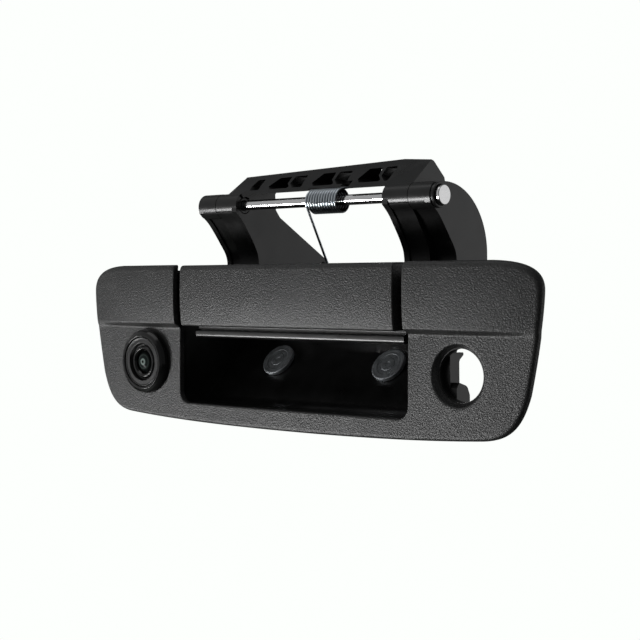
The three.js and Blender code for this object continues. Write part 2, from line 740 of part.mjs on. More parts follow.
function makeBumpStops() {
  const pad = box(60, 63.7, LINER.back + GAP, FIXED_FRONT[FIXED_FRONT.length - 1][0] - GAP, 60, 68);
  node("bump_stop_right", pad, RUBBER);
  node("bump_stop_left", mirrorX(pad), RUBBER);
}

// ---- seals and the lock cylinder's retainer ---------------------------------------------------------
function makeGaskets() {
  const outline = bezelShape();
  const outer = insetShape(outline, LIP_WIDTH + RIM_WALL + GAP);
  const inner = insetShape(outline, LIP_WIDTH + RIM_WALL + 2.8);
  const band = minus(alongY(outer, -3, -0.1), alongY(inner, -5, 2));
  const strip = band.intersect(box(86, beyond, -10, 10, -10, 90));
  node("wing_gasket_right", strip, RUBBER);
  node("wing_gasket_left", mirrorX(strip), RUBBER);
}

// A ring behind the lock hole that carries the clip plate and the finger that grip the cylinder.
const LOCK_CLIP = { plane: LOCK.x - 7.7, thickness: 2, fingerIn: 1.2, fingerOut: 3.1 };

function makeLockRetainer() {
  const { plane, thickness, fingerIn, fingerOut } = LOCK_CLIP;
  const at = (points) => polygon(points.map(([y, dz]) => [y, LOCK.z + dz]));
  const ring = tube(LOCK.r - 0.3, LOCK.r + 2.8, -4.9, -1.4, lockCentre, AXES.y, 40);
  const clip = at([
    [-1.6, -4.1],
    [-1.6, 7.3],
    [-1, 8.7],
    [7.6, 8.7],
    [7.6, 7.6],
    [5.2, 5.9],
    [4.6, 4.9],
    [4.6, -4.1],
  ]);
  const finger = at([
    [-1.6, -12],
    [-1.6, -5.8],
    [0.2, -3.4],
    [4, -4.5],
    [6.4, -6.3],
    [7.6, -8.6],
    [7.6, -12],
  ]);
  const web = box(plane - 4.6, plane, -1.8, 0, LOCK.z - 9, LOCK.z + 8.7);
  const made = union(
    ring,
    web.intersect(rod(LOCK.r + 2.8, -4, 4, lockCentre, AXES.y, 40)),
    alongX(clip, plane - thickness, plane),
    alongX(finger, plane - fingerIn, plane + fingerOut),
  );
  node("lock_retainer", made, GLOSS_BLACK);
}

// ---- camera ---------------------------------------------------------------------------------------
// Distances run along +Y from the bezel's face at the camera (negative is in front of it).
const cameraFace = new THREE.Vector3(CAMERA.x, CAMERA.faceY, CAMERA.z);
const camTurned = (profile, sides = ROUND) => turned(profile, cameraFace, AXES.y, sides);

function makeCamera() {
  const trim = [
    [12.3, -3.9],
    [13.4, -4],
    [14.6, -3.2],
    [15.6, -1.8],
    [16, -0.6],
    [13.4, -0.6],
    [13.4, 10.4],
    [12.3, 10.4],
  ];
  node("camera_trim_ring", camTurned(trim, 40), GLOSS_BLACK);

  const cone = [[12, -3.6], [12, -0.6], [8.2, -0.6], [8.2, -2], [8.9, -2.4], [11.4, -3.6]];
  node("camera_face_cone", camTurned(cone, 40), SMOOTH_BLACK);

  const hood = [[5.7, -0.3], [7.9, -0.3], [7.9, -2], [7.3, -2.7], [6.4, -2.7], [5.7, -1.8]];
  node("lens_hood", camTurned(hood), GLOSS_BLACK);

  const domeR = 9;
  const rimR = 5.3;
  const sag = (r) => domeR - Math.sqrt(domeR * domeR - r * r);
  const dome = [0, 1.4, 2.8, 4.2, rimR].map((r) => [r, -2.9 + sag(r)]);
  node("lens_glass", camTurned([...dome, [rimR, 0], [0, 0]], 28), GLASS);

  const seal = [[5.4, GAP], [7.8, GAP], [7.8, 1.5], [5.4, 1.5]];
  node("lens_seal", camTurned(seal, 24), RUBBER);

  const barrel = [[2.2, GAP], [5, GAP], [5, 2], [7, 2], [7, 12], [4.2, 12], [4.2, 2.6], [2.2, 1.6]];
  node("lens_barrel", camTurned(barrel, 28), SMOOTH_BLACK);

  const rearLens = [[0, 5], [2, 5.2], [3.8, 5.9], [3.8, 9], [0, 9]];
  node("rear_lens", camTurned(rearLens, 24), GLASS);

  const housing = [[12, 0], [12, 20], [10.4, 20], [10.4, 2], [8, 2], [8, 0]];
  node("camera_housing", camTurned(housing), SMOOTH_BLACK);

  node("sensor_board", camTurned([[0, 14.2], [9.8, 14.2], [9.8, 15.8], [0, 15.8]], 28), BOARD_GREEN);
  const { x, z, faceY } = CAMERA;
  node("image_sensor", box(x - 3.4, x + 3.4, faceY + 12.7, faceY + 13.9, z - 2.8, z + 2.8), SILICON);

  const clampNut = camTurned([[13.7, 6.8], [16.4, 6.8], [16.4, 9], [13.7, 9]], 36);
  const notches = [0, 1, 2, 3].map((i) => {
    const angle = (i * Math.PI) / 2 + Math.PI / 4;
    const at = cameraFace.clone();
    at.x += 16.4 * Math.cos(angle);
    at.z += 16.4 * Math.sin(angle);
    return rod(1.4, 5, 11, at, AXES.y, 10);
  });
  node("camera_ring_nut", minus(clampNut, ...notches), SMOOTH_BLACK);
  makeCameraBack();
}

const COVER_SCREWS = [-8, 8];

function makeCameraBack() {
  const at = (dx) => new THREE.Vector3(CAMERA.x + dx, CAMERA.faceY, CAMERA.z);
  const cover = camTurned([[3.4, 20.3], [12, 20.3], [12, 22.4], [11.2, 23.2], [3.4, 23.2]]);
  const holes = COVER_SCREWS.map((dx) => rod(1.1, 15, 30, at(dx), AXES.y, 14));
  node("camera_back_cover", minus(cover, ...holes), SMOOTH_BLACK);
  COVER_SCREWS.forEach((dx, i) => {
    const profile = [[0, 16.8], [0.8, 17.2], [0.8, 23.5], [1.7, 23.5], [1.7, 24.3], [1.2, 24.7], [0, 24.7]];
    node(`cover_screw_${i + 1}`, turned(profile, at(dx), AXES.y, 14), ZINC);
  });
  const gland = [
    [1.6, 19.2],
    [5, 19.2],
    [5, 20],
    [3.1, 20],
    [3.1, 23.5],
    [5, 23.5],
    [4.6, 26],
    [3, 31],
    [1.6, 31],
  ];
  node("cable_gland", camTurned(gland, 22), RUBBER);
}

makeBezel();
makeHandleBase();
makeBezelScrews();
makeStuds();
makeHinge();
makeSpring();
makeLeverArms();
makeLeverBar();
makePaddle();
makeLiner();
makePaddleScrews();
makeBumpStops();
makeGaskets();
makeLockRetainer();
makeCamera();

export default root;
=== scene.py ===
# The looks of a tailgate handle with a built-in backup camera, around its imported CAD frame.
# Lengths are millimetres, and become metres when a mesh is made. Lights are placed in metres.
import math
from contextlib import contextmanager

import bmesh
import bpy
import numpy as np
from mathutils import Matrix, Vector
from mathutils.geometry import delaunay_2d_cdt


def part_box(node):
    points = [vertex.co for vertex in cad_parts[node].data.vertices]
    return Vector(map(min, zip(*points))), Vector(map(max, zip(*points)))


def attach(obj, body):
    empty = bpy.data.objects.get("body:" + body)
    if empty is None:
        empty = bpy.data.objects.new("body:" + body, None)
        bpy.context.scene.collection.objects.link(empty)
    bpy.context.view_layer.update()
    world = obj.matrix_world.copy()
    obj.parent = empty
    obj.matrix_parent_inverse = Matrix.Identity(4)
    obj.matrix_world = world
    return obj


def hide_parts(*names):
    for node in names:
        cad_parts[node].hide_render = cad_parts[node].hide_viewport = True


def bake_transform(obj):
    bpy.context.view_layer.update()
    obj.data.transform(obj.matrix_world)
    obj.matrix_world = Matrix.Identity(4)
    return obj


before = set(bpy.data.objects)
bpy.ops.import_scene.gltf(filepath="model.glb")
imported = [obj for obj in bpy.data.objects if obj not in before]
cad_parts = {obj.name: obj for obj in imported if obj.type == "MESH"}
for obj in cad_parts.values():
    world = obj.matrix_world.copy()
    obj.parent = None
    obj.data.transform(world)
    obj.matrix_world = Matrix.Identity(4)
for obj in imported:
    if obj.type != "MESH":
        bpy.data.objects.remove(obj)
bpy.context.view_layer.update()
MM = 0.001


class Span:
    """A CAD node's box in millimetres."""

    def __init__(self, node):
        lo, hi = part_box(node)
        self.lo = lo / MM
        self.hi = hi / MM
        self.mid = (self.lo + self.hi) / 2
        self.front = Vector((self.mid[0], 0, self.mid[2]))


# ---- sizes: from the frame's boxes, and the CAD's own where a box doesn't give them ----
BEZEL = Span("bezel")
PADDLE = Span("paddle")
LINER = Span("paddle_liner")
PIN = Span("hinge_pin")
ARM = Span("lever_arm_right")

HALF_WIDTH = BEZEL.hi.x
BOTTOM = BEZEL.lo.z
TOP = BEZEL.hi.z
SHELL = 2.6
LIP = 3
LIP_WIDTH = 2.6
RIM_WALL = 2.6
STEP_LOW = 42.4
STEP_HIGH = 45.1
POCKET_HALF = 69.7
POCKET_BOTTOM = 6.7
POCKET_CORNER = 5.5

PIN_Y = PIN.mid.y
PIN_Z = PIN.mid.z
PIN_R = 2.4
KNUCKLE_R = 6
PIN_AT = Vector((0, PIN_Y, PIN_Z))

OUTER_IN = 59.15
OUTER_OUT = 70.9
INNER_IN = ARM.lo.x
INNER_OUT = ARM.hi.x
ARM_WALL = 3

STUDS = {side: Span(f"mounting_stud_{side}") for side in ("left", "right")}
STUD_SLOPE = math.radians(50)
STUD_AXIS = Vector((0, math.sin(STUD_SLOPE), -math.cos(STUD_SLOPE)))
STUD_SEAT_Y = 25
STUD_SEAT_Z = 25.6

LENS = Span("lens_glass")
CAMERA_AT = Vector((LENS.mid.x, LENS.hi.y, LENS.mid.z))
RETAINER = Span("lock_retainer")
LOCK_AT = Vector((RETAINER.mid.x, 0, 26.1))
LOCK_R = 11.4

WHITE = (0.98, 1.0, 0.98)
X_AXIS = Vector((1, 0, 0))
Y_AXIS = Vector((0, 1, 0))

BEZEL_SCREWS = [Span(f"bezel_screw_{i}") for i in (1, 2, 3, 4)]
EAR_FRONT = -3.5
EAR_BACK = -1.7
RIM_START = OUTER_OUT + 3.6


# ---- mesh helpers ----
def linked(name, data):
    """A new object in the scene."""
    obj = bpy.data.objects.new(name, data)
    bpy.context.scene.collection.objects.link(obj)
    return obj


@contextmanager
def edited(mesh):
    """The mesh opened for changes, which are written back."""
    shape = bmesh.new()
    shape.from_mesh(mesh)
    yield shape
    shape.to_mesh(mesh)
    shape.free()


def make_object(name, vertices, faces):
    """A smooth-shaded object from points in millimetres, its faces turned outwards."""
    mesh = bpy.data.meshes.new(name)
    mesh.from_pydata([tuple(Vector(v) * MM) for v in vertices], [], faces)
    with edited(mesh) as shape:
        bmesh.ops.recalc_face_normals(shape, faces=shape.faces)
    mesh.shade_smooth()
    return linked(name, mesh)


def rounded(points, radius, steps=4, closed=True):
    """A polyline with each corner turned into an arc, which shrinks where the sides are short."""
    made = []
    count = len(points)
    for i, point in enumerate(points):
        corner = Vector(point)
        if not closed and i in (0, count - 1):
            made.append(corner)
            continue
        before = Vector(points[i - 1]) - corner
        after = Vector(points[(i + 1) % count]) - corner
        angle = before.angle(after)
        wanted = radius[i] if isinstance(radius, (list, tuple)) else radius
        if angle > math.radians(177) or wanted == 0:
            made.append(corner)
            continue
        cut = min(wanted / math.tan(angle / 2), 0.45 * before.length, 0.45 * after.length)
        middle = corner + (before.normalized() + after.normalized()).normalized() * (
            cut / math.cos(angle / 2)
        )
        start = corner + before.normalized() * cut - middle
        end = corner + after.normalized() * cut - middle
        sweep = math.pi - angle
        for k in range(steps + 1):
            share = k / steps
            a = math.sin((1 - share) * sweep) / math.sin(sweep)
            b = math.sin(share * sweep) / math.sin(sweep)
            made.append(middle + start * a + end * b)
    return made


def arc(centre, radius, start, end, steps):
    """Points on a circle, with its angles in degrees."""
    angles = [math.radians(start + (end - start) * i / steps) for i in range(steps + 1)]
    return [(centre[0] + radius * math.cos(a), centre[1] + radius * math.sin(a)) for a in angles]


def smooth_path(points, steps=5):
    """A curve through the points, as a finer polyline."""
    ends = [points[0], *points, points[-1]]
    made = []
    for a, b, c, d in zip(ends, ends[1:], ends[2:], ends[3:]):
        a, b, c, d = (Vector(p) for p in (a, b, c, d))
        for k in range(steps):
            t = k / steps
            made.append(
                0.5 * (2 * b + (c - a) * t + (2 * a - 5 * b + 4 * c - d) * t * t
                       + (3 * b - 3 * c + d - a) * t ** 3)
            )
    return [*made, Vector(points[-1])]


def lathe(name, profile, at, axis, sides=96, edge=0.15, steps=3):
    """A closed (radius, distance along the axis) profile turned about a line through `at`.

    Each point keeps its own radius and distance in the mesh, for turned and ringed finishes."""
    solid_core = profile[0][0] == 0
    line = rounded(profile, edge, steps, closed=not solid_core)
    turn = Vector((0, 0, 1)).rotation_difference(axis)
    vertices, faces, rings, turned = [], [], [], []
    for radius, along in line:
        count = 1 if radius < 1e-6 else sides
        rings.append(range(len(vertices), len(vertices) + count))
        for k in range(count):
            angle = 2 * math.pi * k / sides
            local = Vector((radius * math.cos(angle), radius * math.sin(angle), along))
            vertices.append(at + turn @ local)
            turned.append((radius * MM, along * MM, 0))
    pairs = list(zip(rings, rings[1:]))
    if not solid_core:
        pairs.append((rings[-1], rings[0]))
    for a, b in pairs:
        for k in range(sides):
            n = (k + 1) % sides
            corners = [a[k % len(a)], a[n % len(a)], b[n % len(b)], b[k % len(b)]]
            face = list(dict.fromkeys(corners))
            if len(face) > 2:
                faces.append(face)
    obj = make_object(name, vertices, faces)
    attribute = obj.data.attributes.new("turned", "FLOAT_VECTOR", "POINT")
    attribute.data.foreach_set("vector", np.array(turned, np.float32).ravel())
    obj.modifiers.new("even_shading", "WEIGHTED_NORMAL").weight = 80
    return obj


def prism(outline, lo, hi, axis="x"):
    """An outline drawn out along an axis, from lo to hi: its points are the other two coordinates."""
    points = [tuple(p) for p in outline]
    count = len(points)
    slot = "xyz".index(axis)
    vertices = [(*point[:slot], end, *point[slot:]) for end in (lo, hi) for point in points]
    faces = [list(range(count)), list(range(count, 2 * count))]
    faces += [[i, (i + 1) % count, count + (i + 1) % count, count + i] for i in range(count)]
    return make_object("prism", vertices, faces)


def block(x0, x1, y0, y1, z0, z1):
    return prism([(y0, z0), (y1, z0), (y1, z1), (y0, z1)], x0, x1)


def rod(radius, lo, hi, at, axis, sides=48):
    return lathe("rod", [(0, lo), (radius, lo), (radius, hi), (0, hi)], at, axis, sides, 0)


def mirrored(obj):
    """A copy on the other side of x = 0."""
    copy = obj.copy()
    copy.data = obj.data.copy()
    bpy.context.scene.collection.objects.link(copy)
    with edited(copy.data) as shape:
        bmesh.ops.scale(shape, vec=(-1, 1, 1), verts=shape.verts)
        bmesh.ops.reverse_faces(shape, faces=shape.faces)
    return copy


def fused(name, parts, cuts=()):
    """One clean body: the parts joined, less the cuts."""
    base = parts[0]
    base.modifiers.clear()
    for operation, operands in (("UNION", parts[1:]), ("DIFFERENCE", cuts)):
        for operand in operands:
            operand.modifiers.clear()
            step = base.modifiers.new(operation.lower(), "BOOLEAN")
            step.operation = operation
            step.solver = "MANIFOLD"
            step.object = operand
    graph = bpy.context.evaluated_depsgraph_get()
    mesh = bpy.data.meshes.new_from_object(base.evaluated_get(graph))
    for used in (*parts, *cuts):
        bpy.data.objects.remove(used)
    tidy_mesh(mesh)
    return linked(name, mesh)


def shared(a, b):
    """What two shapes have in common."""
    step = a.modifiers.new("shared", "BOOLEAN")
    step.operation = "INTERSECT"
    step.solver = "MANIFOLD"
    step.object = b
    graph = bpy.context.evaluated_depsgraph_get()
    a.data = bpy.data.meshes.new_from_object(a.evaluated_get(graph))
    a.modifiers.clear()
    bpy.data.objects.remove(b)
    return a


def tidy_mesh(mesh, flat=0.6):
    """Welds the corners and joins the triangles of each flat face."""
    weld = 2e-6
    with edited(mesh) as shape:
        bmesh.ops.remove_doubles(shape, verts=shape.verts, dist=weld)
        bmesh.ops.dissolve_degenerate(shape, edges=shape.edges, dist=weld)
        bmesh.ops.dissolve_limit(
            shape, angle_limit=math.radians(flat), verts=shape.verts, edges=shape.edges
        )
        bmesh.ops.recalc_face_normals(shape, faces=shape.faces)
    mesh.shade_smooth()


def soften(obj, width, segments=3, angle=28):
    """Rounds the sharp edges."""
    bevel = obj.modifiers.new("edges", "BEVEL")
    bevel.width = width * MM
    bevel.segments = segments
    bevel.limit_method = "ANGLE"
    bevel.angle_limit = math.radians(angle)
    bevel.harden_normals = True
    return obj


def place(obj, body, slot, *nodes):
    """The piece rides on its body, stands for its CAD nodes and takes its slot's finish."""
    obj.data.materials.clear()
    obj.data.materials.append(FINISHES[slot])
    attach(obj, body)
    if nodes:
        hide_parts(*nodes)
    return obj


# ---- materials ----
class Finish:
    """A Principled material with short ways to add its nodes."""

    def __init__(self, name, metallic=0.0, specular=0.5):
        self.material = bpy.data.materials.new(name)
        self.material.use_nodes = True
        self.nodes = self.material.node_tree.nodes
        self.links = self.material.node_tree.links
        self.shader = self.nodes["Principled BSDF"]
        self.shader.inputs["Metallic"].default_value = metallic
        self.shader.inputs["Specular IOR Level"].default_value = specular
        self.place = self.nodes.new("ShaderNodeTexCoord").outputs["Object"]

    def set(self, socket, value):
        self.shader.inputs[socket].default_value = value
        return self

    def link(self, socket, output):
        self.links.new(output, self.shader.inputs[socket])
        return self

    def noise(self, size, detail=3.0, distortion=0.0, stretch=(1, 1, 1), roughness=0.5):
        """Noise whose blobs are about `size` millimetres across."""
        mapping = self.nodes.new("ShaderNodeMapping")
        mapping.inputs["Scale"].default_value = stretch
        self.links.new(self.place, mapping.inputs["Vector"])
        node = self.nodes.new("ShaderNodeTexNoise")
        node.inputs["Scale"].default_value = 1 / (size * MM)
        node.inputs["Detail"].default_value = detail
        node.inputs["Roughness"].default_value = roughness
        node.inputs["Distortion"].default_value = distortion
        self.links.new(mapping.outputs["Vector"], node.inputs["Vector"])
        return node.outputs["Fac"]

    def cells(self, size, feature="F1", warp=None):
        """Voronoi cells about `size` millimetres across, warped by a noise output."""
        node = self.nodes.new("ShaderNodeTexVoronoi")
        node.feature = feature
        node.inputs["Scale"].default_value = 1 / (size * MM)
        source = self.place
        if warp is not None:
            mix = self.nodes.new("ShaderNodeVectorMath")
            mix.operation = "MULTIPLY_ADD"
            mix.inputs[1].default_value = (size * MM * 0.6,) * 3
            self.links.new(warp, mix.inputs[0])
            self.links.new(self.place, mix.inputs[2])
            source = mix.outputs["Vector"]
        self.links.new(source, node.inputs["Vector"])
        return node.outputs["Distance"]

    def math(self, operation, a, b):
        node = self.nodes.new("ShaderNodeMath")
        node.operation = operation
        for socket, value in zip(node.inputs, (a, b)):
            if isinstance(value, (int, float)):
                socket.default_value = value
            else:
                self.links.new(value, socket)
        return node.outputs["Value"]

    def span(self, source, low, high):
        """A 0 to 1 value stretched to low to high."""
        node = self.nodes.new("ShaderNodeMapRange")
        node.inputs["From Min"].default_value = 0.25
        node.inputs["From Max"].default_value = 0.75
        node.inputs["To Min"].default_value = low
        node.inputs["To Max"].default_value = high
        self.links.new(source, node.inputs["Value"])
        return node.outputs["Result"]

    def ramp(self, source, *stops):
        """A colour ramp of (place, colour) stops."""
        node = self.nodes.new("ShaderNodeValToRGB")
        elements = node.color_ramp.elements
        while len(elements) < len(stops):
            elements.new(0.5)
        for element, (position, colour) in zip(elements, stops):
            element.position = position
            element.color = (*colour, 1)
        self.links.new(source, node.inputs["Fac"])
        return node.outputs["Color"]

    def turned(self, axis):
        """The radius (0) or the distance along the axis (1) that lathe() kept, in metres."""
        attribute = self.nodes.new("ShaderNodeAttribute")
        attribute.attribute_name = "turned"
        split = self.nodes.new("ShaderNodeSeparateXYZ")
        self.links.new(attribute.outputs["Vector"], split.inputs["Vector"])
        return split.outputs[axis]

    def bump(self, height, depth, strength=1.0):
        """Relief `depth` millimetres deep; a second call lies on top of the first."""
        node = self.nodes.new("ShaderNodeBump")
        node.inputs["Strength"].default_value = strength
        node.inputs["Distance"].default_value = depth * MM
        self.links.new(height, node.inputs["Height"])
        normal = self.shader.inputs["Normal"]
        if normal.is_linked:
            self.links.new(normal.links[0].from_socket, node.inputs["Normal"])
        self.links.new(node.outputs["Normal"], normal)
        return self


def grey(value, tint=(1, 1, 1)):
    return tuple(value * t for t in tint)


def mottled(finish, cloud, dark, light, smooth, rough):
    """Clouds a finish between two colours, and between two roughnesses."""
    finish.link("Base Color", finish.ramp(cloud, (0.3, dark), (0.7, light)))
    finish.link("Roughness", finish.span(cloud, smooth, rough))


def grained_black():
    """Moulded plastic with a fine leather grain: rounded pebbles between thin wandering creases."""
    f = Finish("grained_black", specular=0.5)
    warp = f.noise(1.8, 2.0)
    pebbles = f.cells(0.7, "SMOOTH_F1", warp)
    wrinkle = f.noise(0.62, 3.0, 0.2, (0.85, 1, 1.15))
    height = f.math("ADD", f.math("MULTIPLY", pebbles, -0.5), wrinkle)
    broad = f.noise(26, 2.0)
    grain = f.math("ADD", f.math("MULTIPLY", wrinkle, 0.8), f.math("MULTIPLY", broad, 0.2))
    f.link("Base Color", f.ramp(grain, (0.34, grey(0.012)), (0.52, grey(0.026)), (0.68, grey(0.05))))
    f.link("Roughness", f.span(grain, 0.46, 0.37))
    f.bump(height, 0.2, 1.0)
    f.bump(f.noise(0.22, 1.0), 0.012, 0.6)
    return f.material


def smooth_black():
    """Satin moulded plastic with a faint orange peel."""
    f = Finish("smooth_black", specular=0.5)
    mottled(f, f.noise(9, 4.0, 0.4), grey(0.006), grey(0.012), 0.27, 0.36)
    f.bump(f.noise(1.1, 2.0), 0.012, 0.5)
    f.bump(f.noise(0.25, 1.0), 0.004, 0.5)
    return f.material


def gloss_black():
    """Gloss moulded plastic, very slightly wavy."""
    f = Finish("gloss_black", specular=0.5)
    mottled(f, f.noise(6, 3.0), grey(0.004), grey(0.007), 0.14, 0.22)
    f.bump(f.noise(2.2, 1.0), 0.006, 0.4)
    return f.material


def acetal():
    """Self-lubricating sleeve plastic, satin."""
    f = Finish("acetal", specular=0.45)
    mottled(f, f.noise(2.5, 3.0), grey(0.02), grey(0.035), 0.3, 0.4)
    f.bump(f.noise(0.3, 1.0), 0.005, 0.5)
    return f.material


def polished_steel():
    """Bright plated rod, drawn lengthways."""
    f = Finish("polished_steel", metallic=1.0)
    drawn = f.noise(0.35, 3.0, 0.0, (0.04, 1, 1))
    mottled(f, drawn, grey(0.78, (1, 1.0, 1.01)), grey(0.9), 0.09, 0.17)
    f.bump(drawn, 0.003, 0.4)
    return f.material


def zinc_steel():
    """Cool, slightly cloudy zinc plate, with painted shade on the wire's inner half and in the gaps
    between turns that torsion_spring() marks.
    """
    f = Finish("zinc_steel", metallic=1.0)
    cloud = f.noise(1.4, 4.0, 0.5)
    cool = (0.93, 1.0, 1.07)
    gap = f.nodes.new("ShaderNodeAttribute")
    gap.attribute_name = "gap"
    bright = f.math("ADD", f.math("MULTIPLY", cloud, 0.3), 0.7)
    # Painted shade: the base colour drops to near black where the wire is marked "gap", its inner half
    # and the gaps between turns.
    gap_shaded = f.math("SUBTRACT", bright, gap.outputs["Fac"])
    f.link("Base Color", f.ramp(gap_shaded, (0, grey(0.02)), (0.7, grey(0.7, cool)), (1, grey(0.95, cool))))
    f.link("Roughness", f.span(cloud, 0.14, 0.24))
    f.bump(f.noise(0.3, 2.0), 0.004, 0.5)
    return f.material


def stud_steel():
    """Dark oxide over a face that was turned on a lathe: fine concentric marks."""
    f = Finish("stud_steel", metallic=1.0)
    radius = f.math("DIVIDE", f.turned(0), 0.42 * MM)
    marks = f.math("MULTIPLY_ADD", f.math("SINE", f.math("MULTIPLY", radius, 2 * math.pi), 0), 0.5)
    f.nodes[-1].inputs[2].default_value = 0.5
    stain = f.noise(3.0, 4.0, 0.6)
    both = f.math("ADD", f.math("MULTIPLY", marks, 0.35), f.math("MULTIPLY", stain, 0.65))
    cool = (0.95, 1.0, 1.04)
    f.link("Base Color", f.ramp(both, (0.25, grey(0.3, cool)), (0.75, grey(0.6, cool))))
    f.link("Roughness", f.span(stain, 0.48, 0.58))
    f.bump(marks, 0.02, 0.6)
    return f.material


def rubber():
    """Matt moulded rubber."""
    f = Finish("rubber", specular=0.3)
    mottled(f, f.noise(1.2, 4.0), grey(0.009), grey(0.02), 0.62, 0.85)
    f.bump(f.noise(0.35, 2.0), 0.03, 0.7)
    return f.material


def foam_seal():
    """Closed-cell foam strip."""
    f = Finish("foam_seal", specular=0.2)
    pores = f.cells(0.7)
    f.link("Base Color", f.ramp(pores, (0.0, grey(0.008)), (0.6, grey(0.035))))
    f.link("Roughness", f.span(pores, 0.8, 0.95))
    f.bump(pores, 0.15, 0.8)
    return f.material


def lens_glass():
    """Coated front element, opaque: the elements behind it and their reflections are painted as faint
    rings round a dark pupil.
    """
    f = Finish("lens_glass", specular=0.015)
    radius = f.math("DIVIDE", f.turned(0), 5.3 * MM)
    dark = (0.004, 0.005, 0.005)
    # Painted reflection: light rings of the inner elements' glints, set by distance from the axis.
    f.link("Base Color", f.ramp(
        radius,
        (0.0, dark), (0.1, dark), (0.16, (0.2, 0.24, 0.22)), (0.27, (0.24, 0.3, 0.28)),
        (0.35, (0.02, 0.025, 0.024)), (0.56, (0.014, 0.018, 0.017)), (0.63, (0.05, 0.064, 0.06)),
        (0.7, (0.02, 0.024, 0.022)), (0.8, dark),
    ))
    f.link("Roughness", f.span(f.noise(3.0, 2.0), 0.07, 0.12))
    return f.material


def circuit_board():
    """Green solder mask over copper runs."""
    f = Finish("circuit_board", specular=0.5)
    runs = f.cells(1.1, "DISTANCE_TO_EDGE", f.noise(2.0, 1.0))
    green = ((0.0, (0.09, 0.26, 0.11)), (0.08, (0.02, 0.12, 0.05)), (0.4, (0.012, 0.085, 0.035)))
    f.link("Base Color", f.ramp(runs, *green))
    f.link("Roughness", f.span(f.noise(0.6, 2.0), 0.3, 0.45))
    f.bump(runs, 0.03, 0.4)
    return f.material


def sensor_chip():
    """Dark glass over the image sensor."""
    f = Finish("sensor_chip", metallic=0.2, specular=0.6)
    mottled(f, f.noise(0.5, 2.0), (0.018, 0.02, 0.026), (0.03, 0.034, 0.045), 0.12, 0.22)
    return f.material


FINISHES = {
    make.__name__: make()
    for make in (
        grained_black, smooth_black, gloss_black, acetal, polished_steel, zinc_steel,
        stud_steel, rubber, foam_seal, lens_glass, circuit_board, sensor_chip,
    )
}


# ---- grained covers: surfaces given by a height over an (x, z) outline ----
def resample(points, spacing, closed=True):
    """The polyline with points about `spacing` apart, its corners kept."""
    made = []
    ends = points[1:] + (points[:1] if closed else [])
    for a, b in zip(points, ends):
        a, b = Vector(a), Vector(b)
        count = max(1, round((b - a).length / spacing))
        made += [a.lerp(b, k / count) for k in range(count)]
    return made if closed else [*made, Vector(points[-1])]


def distance_to(line, points, closed=False):
    """How far each (x, z) point is from a polyline."""
    start = np.array([tuple(p) for p in line], float)
    end = np.roll(start, -1, axis=0)
    if not closed:
        start, end = start[:-1], end[:-1]
    run = end - start
    length = np.maximum((run ** 2).sum(1), 1e-12)
    best = np.full(len(points), 1e9)
    for chunk in range(0, len(points), 2000):
        p = points[chunk:chunk + 2000, None, :]
        t = np.clip(((p - start) * run).sum(2) / length, 0, 1)
        gap = np.linalg.norm(p - (start + t[..., None] * run), axis=2)
        best[chunk:chunk + 2000] = gap.min(1)
    return best


def inside(loop, points):
    """Which points lie inside a closed loop."""
    a = np.array([tuple(p) for p in loop], float)
    b = np.roll(a, -1, axis=0)
    x, z = points[:, 0:1], points[:, 1:2]
    crosses = (a[:, 1] > z) != (b[:, 1] > z)
    rise = np.where(np.abs(b[:, 1] - a[:, 1]) < 1e-12, 1e-12, b[:, 1] - a[:, 1])
    at = a[:, 0] + (z - a[:, 1]) * (b[:, 0] - a[:, 0]) / rise
    return (crosses & (x < at)).sum(1) % 2 == 1


def rings(loop, distances, outward):
    """Copies of a counter-clockwise loop moved inwards, or outwards for a hole."""
    a = np.array([tuple(p) for p in loop], float)
    along = np.roll(a, -1, axis=0) - np.roll(a, 1, axis=0)
    along /= np.linalg.norm(along, axis=1)[:, None]
    normal = np.stack([-along[:, 1], along[:, 0]], 1) * (-1 if outward else 1)
    return [(distance, a + normal * distance) for distance in distances]


def cover(name, loops, ring_distances, front, back, columns, rows, back_place=None):
    """A shell over a region: loops[0] is its edge and the others are holes, counter-clockwise.

    front and back give y at an array of (x, z) points; back_place may move the back's points."""
    kept = [np.array([tuple(p) for p in loop], float) for loop in loops]
    reach = 0.0
    for number, (loop, distances) in enumerate(zip(loops, ring_distances)):
        for distance, ring in rings(loop, distances, number > 0):
            gaps = np.min([distance_to(other, ring, True) for other in loops], axis=0)
            ring = ring[gaps > distance * 0.97]
            ok = inside(loops[0], ring)
            for hole in loops[1:]:
                ok &= ~inside(hole, ring)
            kept.append(ring[ok])
            reach = max(reach, distance)
    grid = np.array([(x, z) for x in columns for z in rows], float)
    ok = inside(loops[0], grid)
    for number, loop in enumerate(loops):
        if number:
            ok &= ~inside(loop, grid)
        ok &= distance_to(loop, grid, True) > ring_distances[number][-1] + 0.5
    kept.append(grid[ok])
    points = np.vstack(kept)
    edges, first = [], 0
    for loop in loops:
        count = len(loop)
        edges += [(first + i, first + (i + 1) % count) for i in range(count)]
        first += count
    made = delaunay_2d_cdt([Vector(p) for p in points], edges, [], 0, 1e-6)
    flat = np.array([tuple(v) for v in made[0]], float)
    faces = np.array([f for f in made[2] if len(f) == 3])
    middles = flat[faces].mean(1)
    ok = inside(loops[0], middles)
    for hole in loops[1:]:
        ok &= ~inside(hole, middles)
    faces = faces[ok]
    return close_cover(name, flat, faces, front, back, back_place)


def close_cover(name, flat, faces, front, back, back_place):
    """Joins the front sheet to its back sheet round every free edge."""
    count = len(flat)
    behind = flat if back_place is None else back_place(flat)
    y_front, y_back = front(flat), back(flat)
    vertices = [(x, y, z) for (x, z), y in zip(flat, y_front)]
    vertices += [(x, y, z) for (x, z), y in zip(behind, y_back)]
    seen = {(int(a), int(b)): True for face in faces for a, b in zip(face, np.roll(face, -1))}
    free = [(a, b) for a, b in seen if (b, a) not in seen]
    shell = [list(map(int, f)) for f in faces]
    shell += [[int(i) + count for i in reversed(f)] for f in faces]
    shell += [[b, a, a + count, b + count] for a, b in free]
    return drop_loose(make_object(name, vertices, shell))


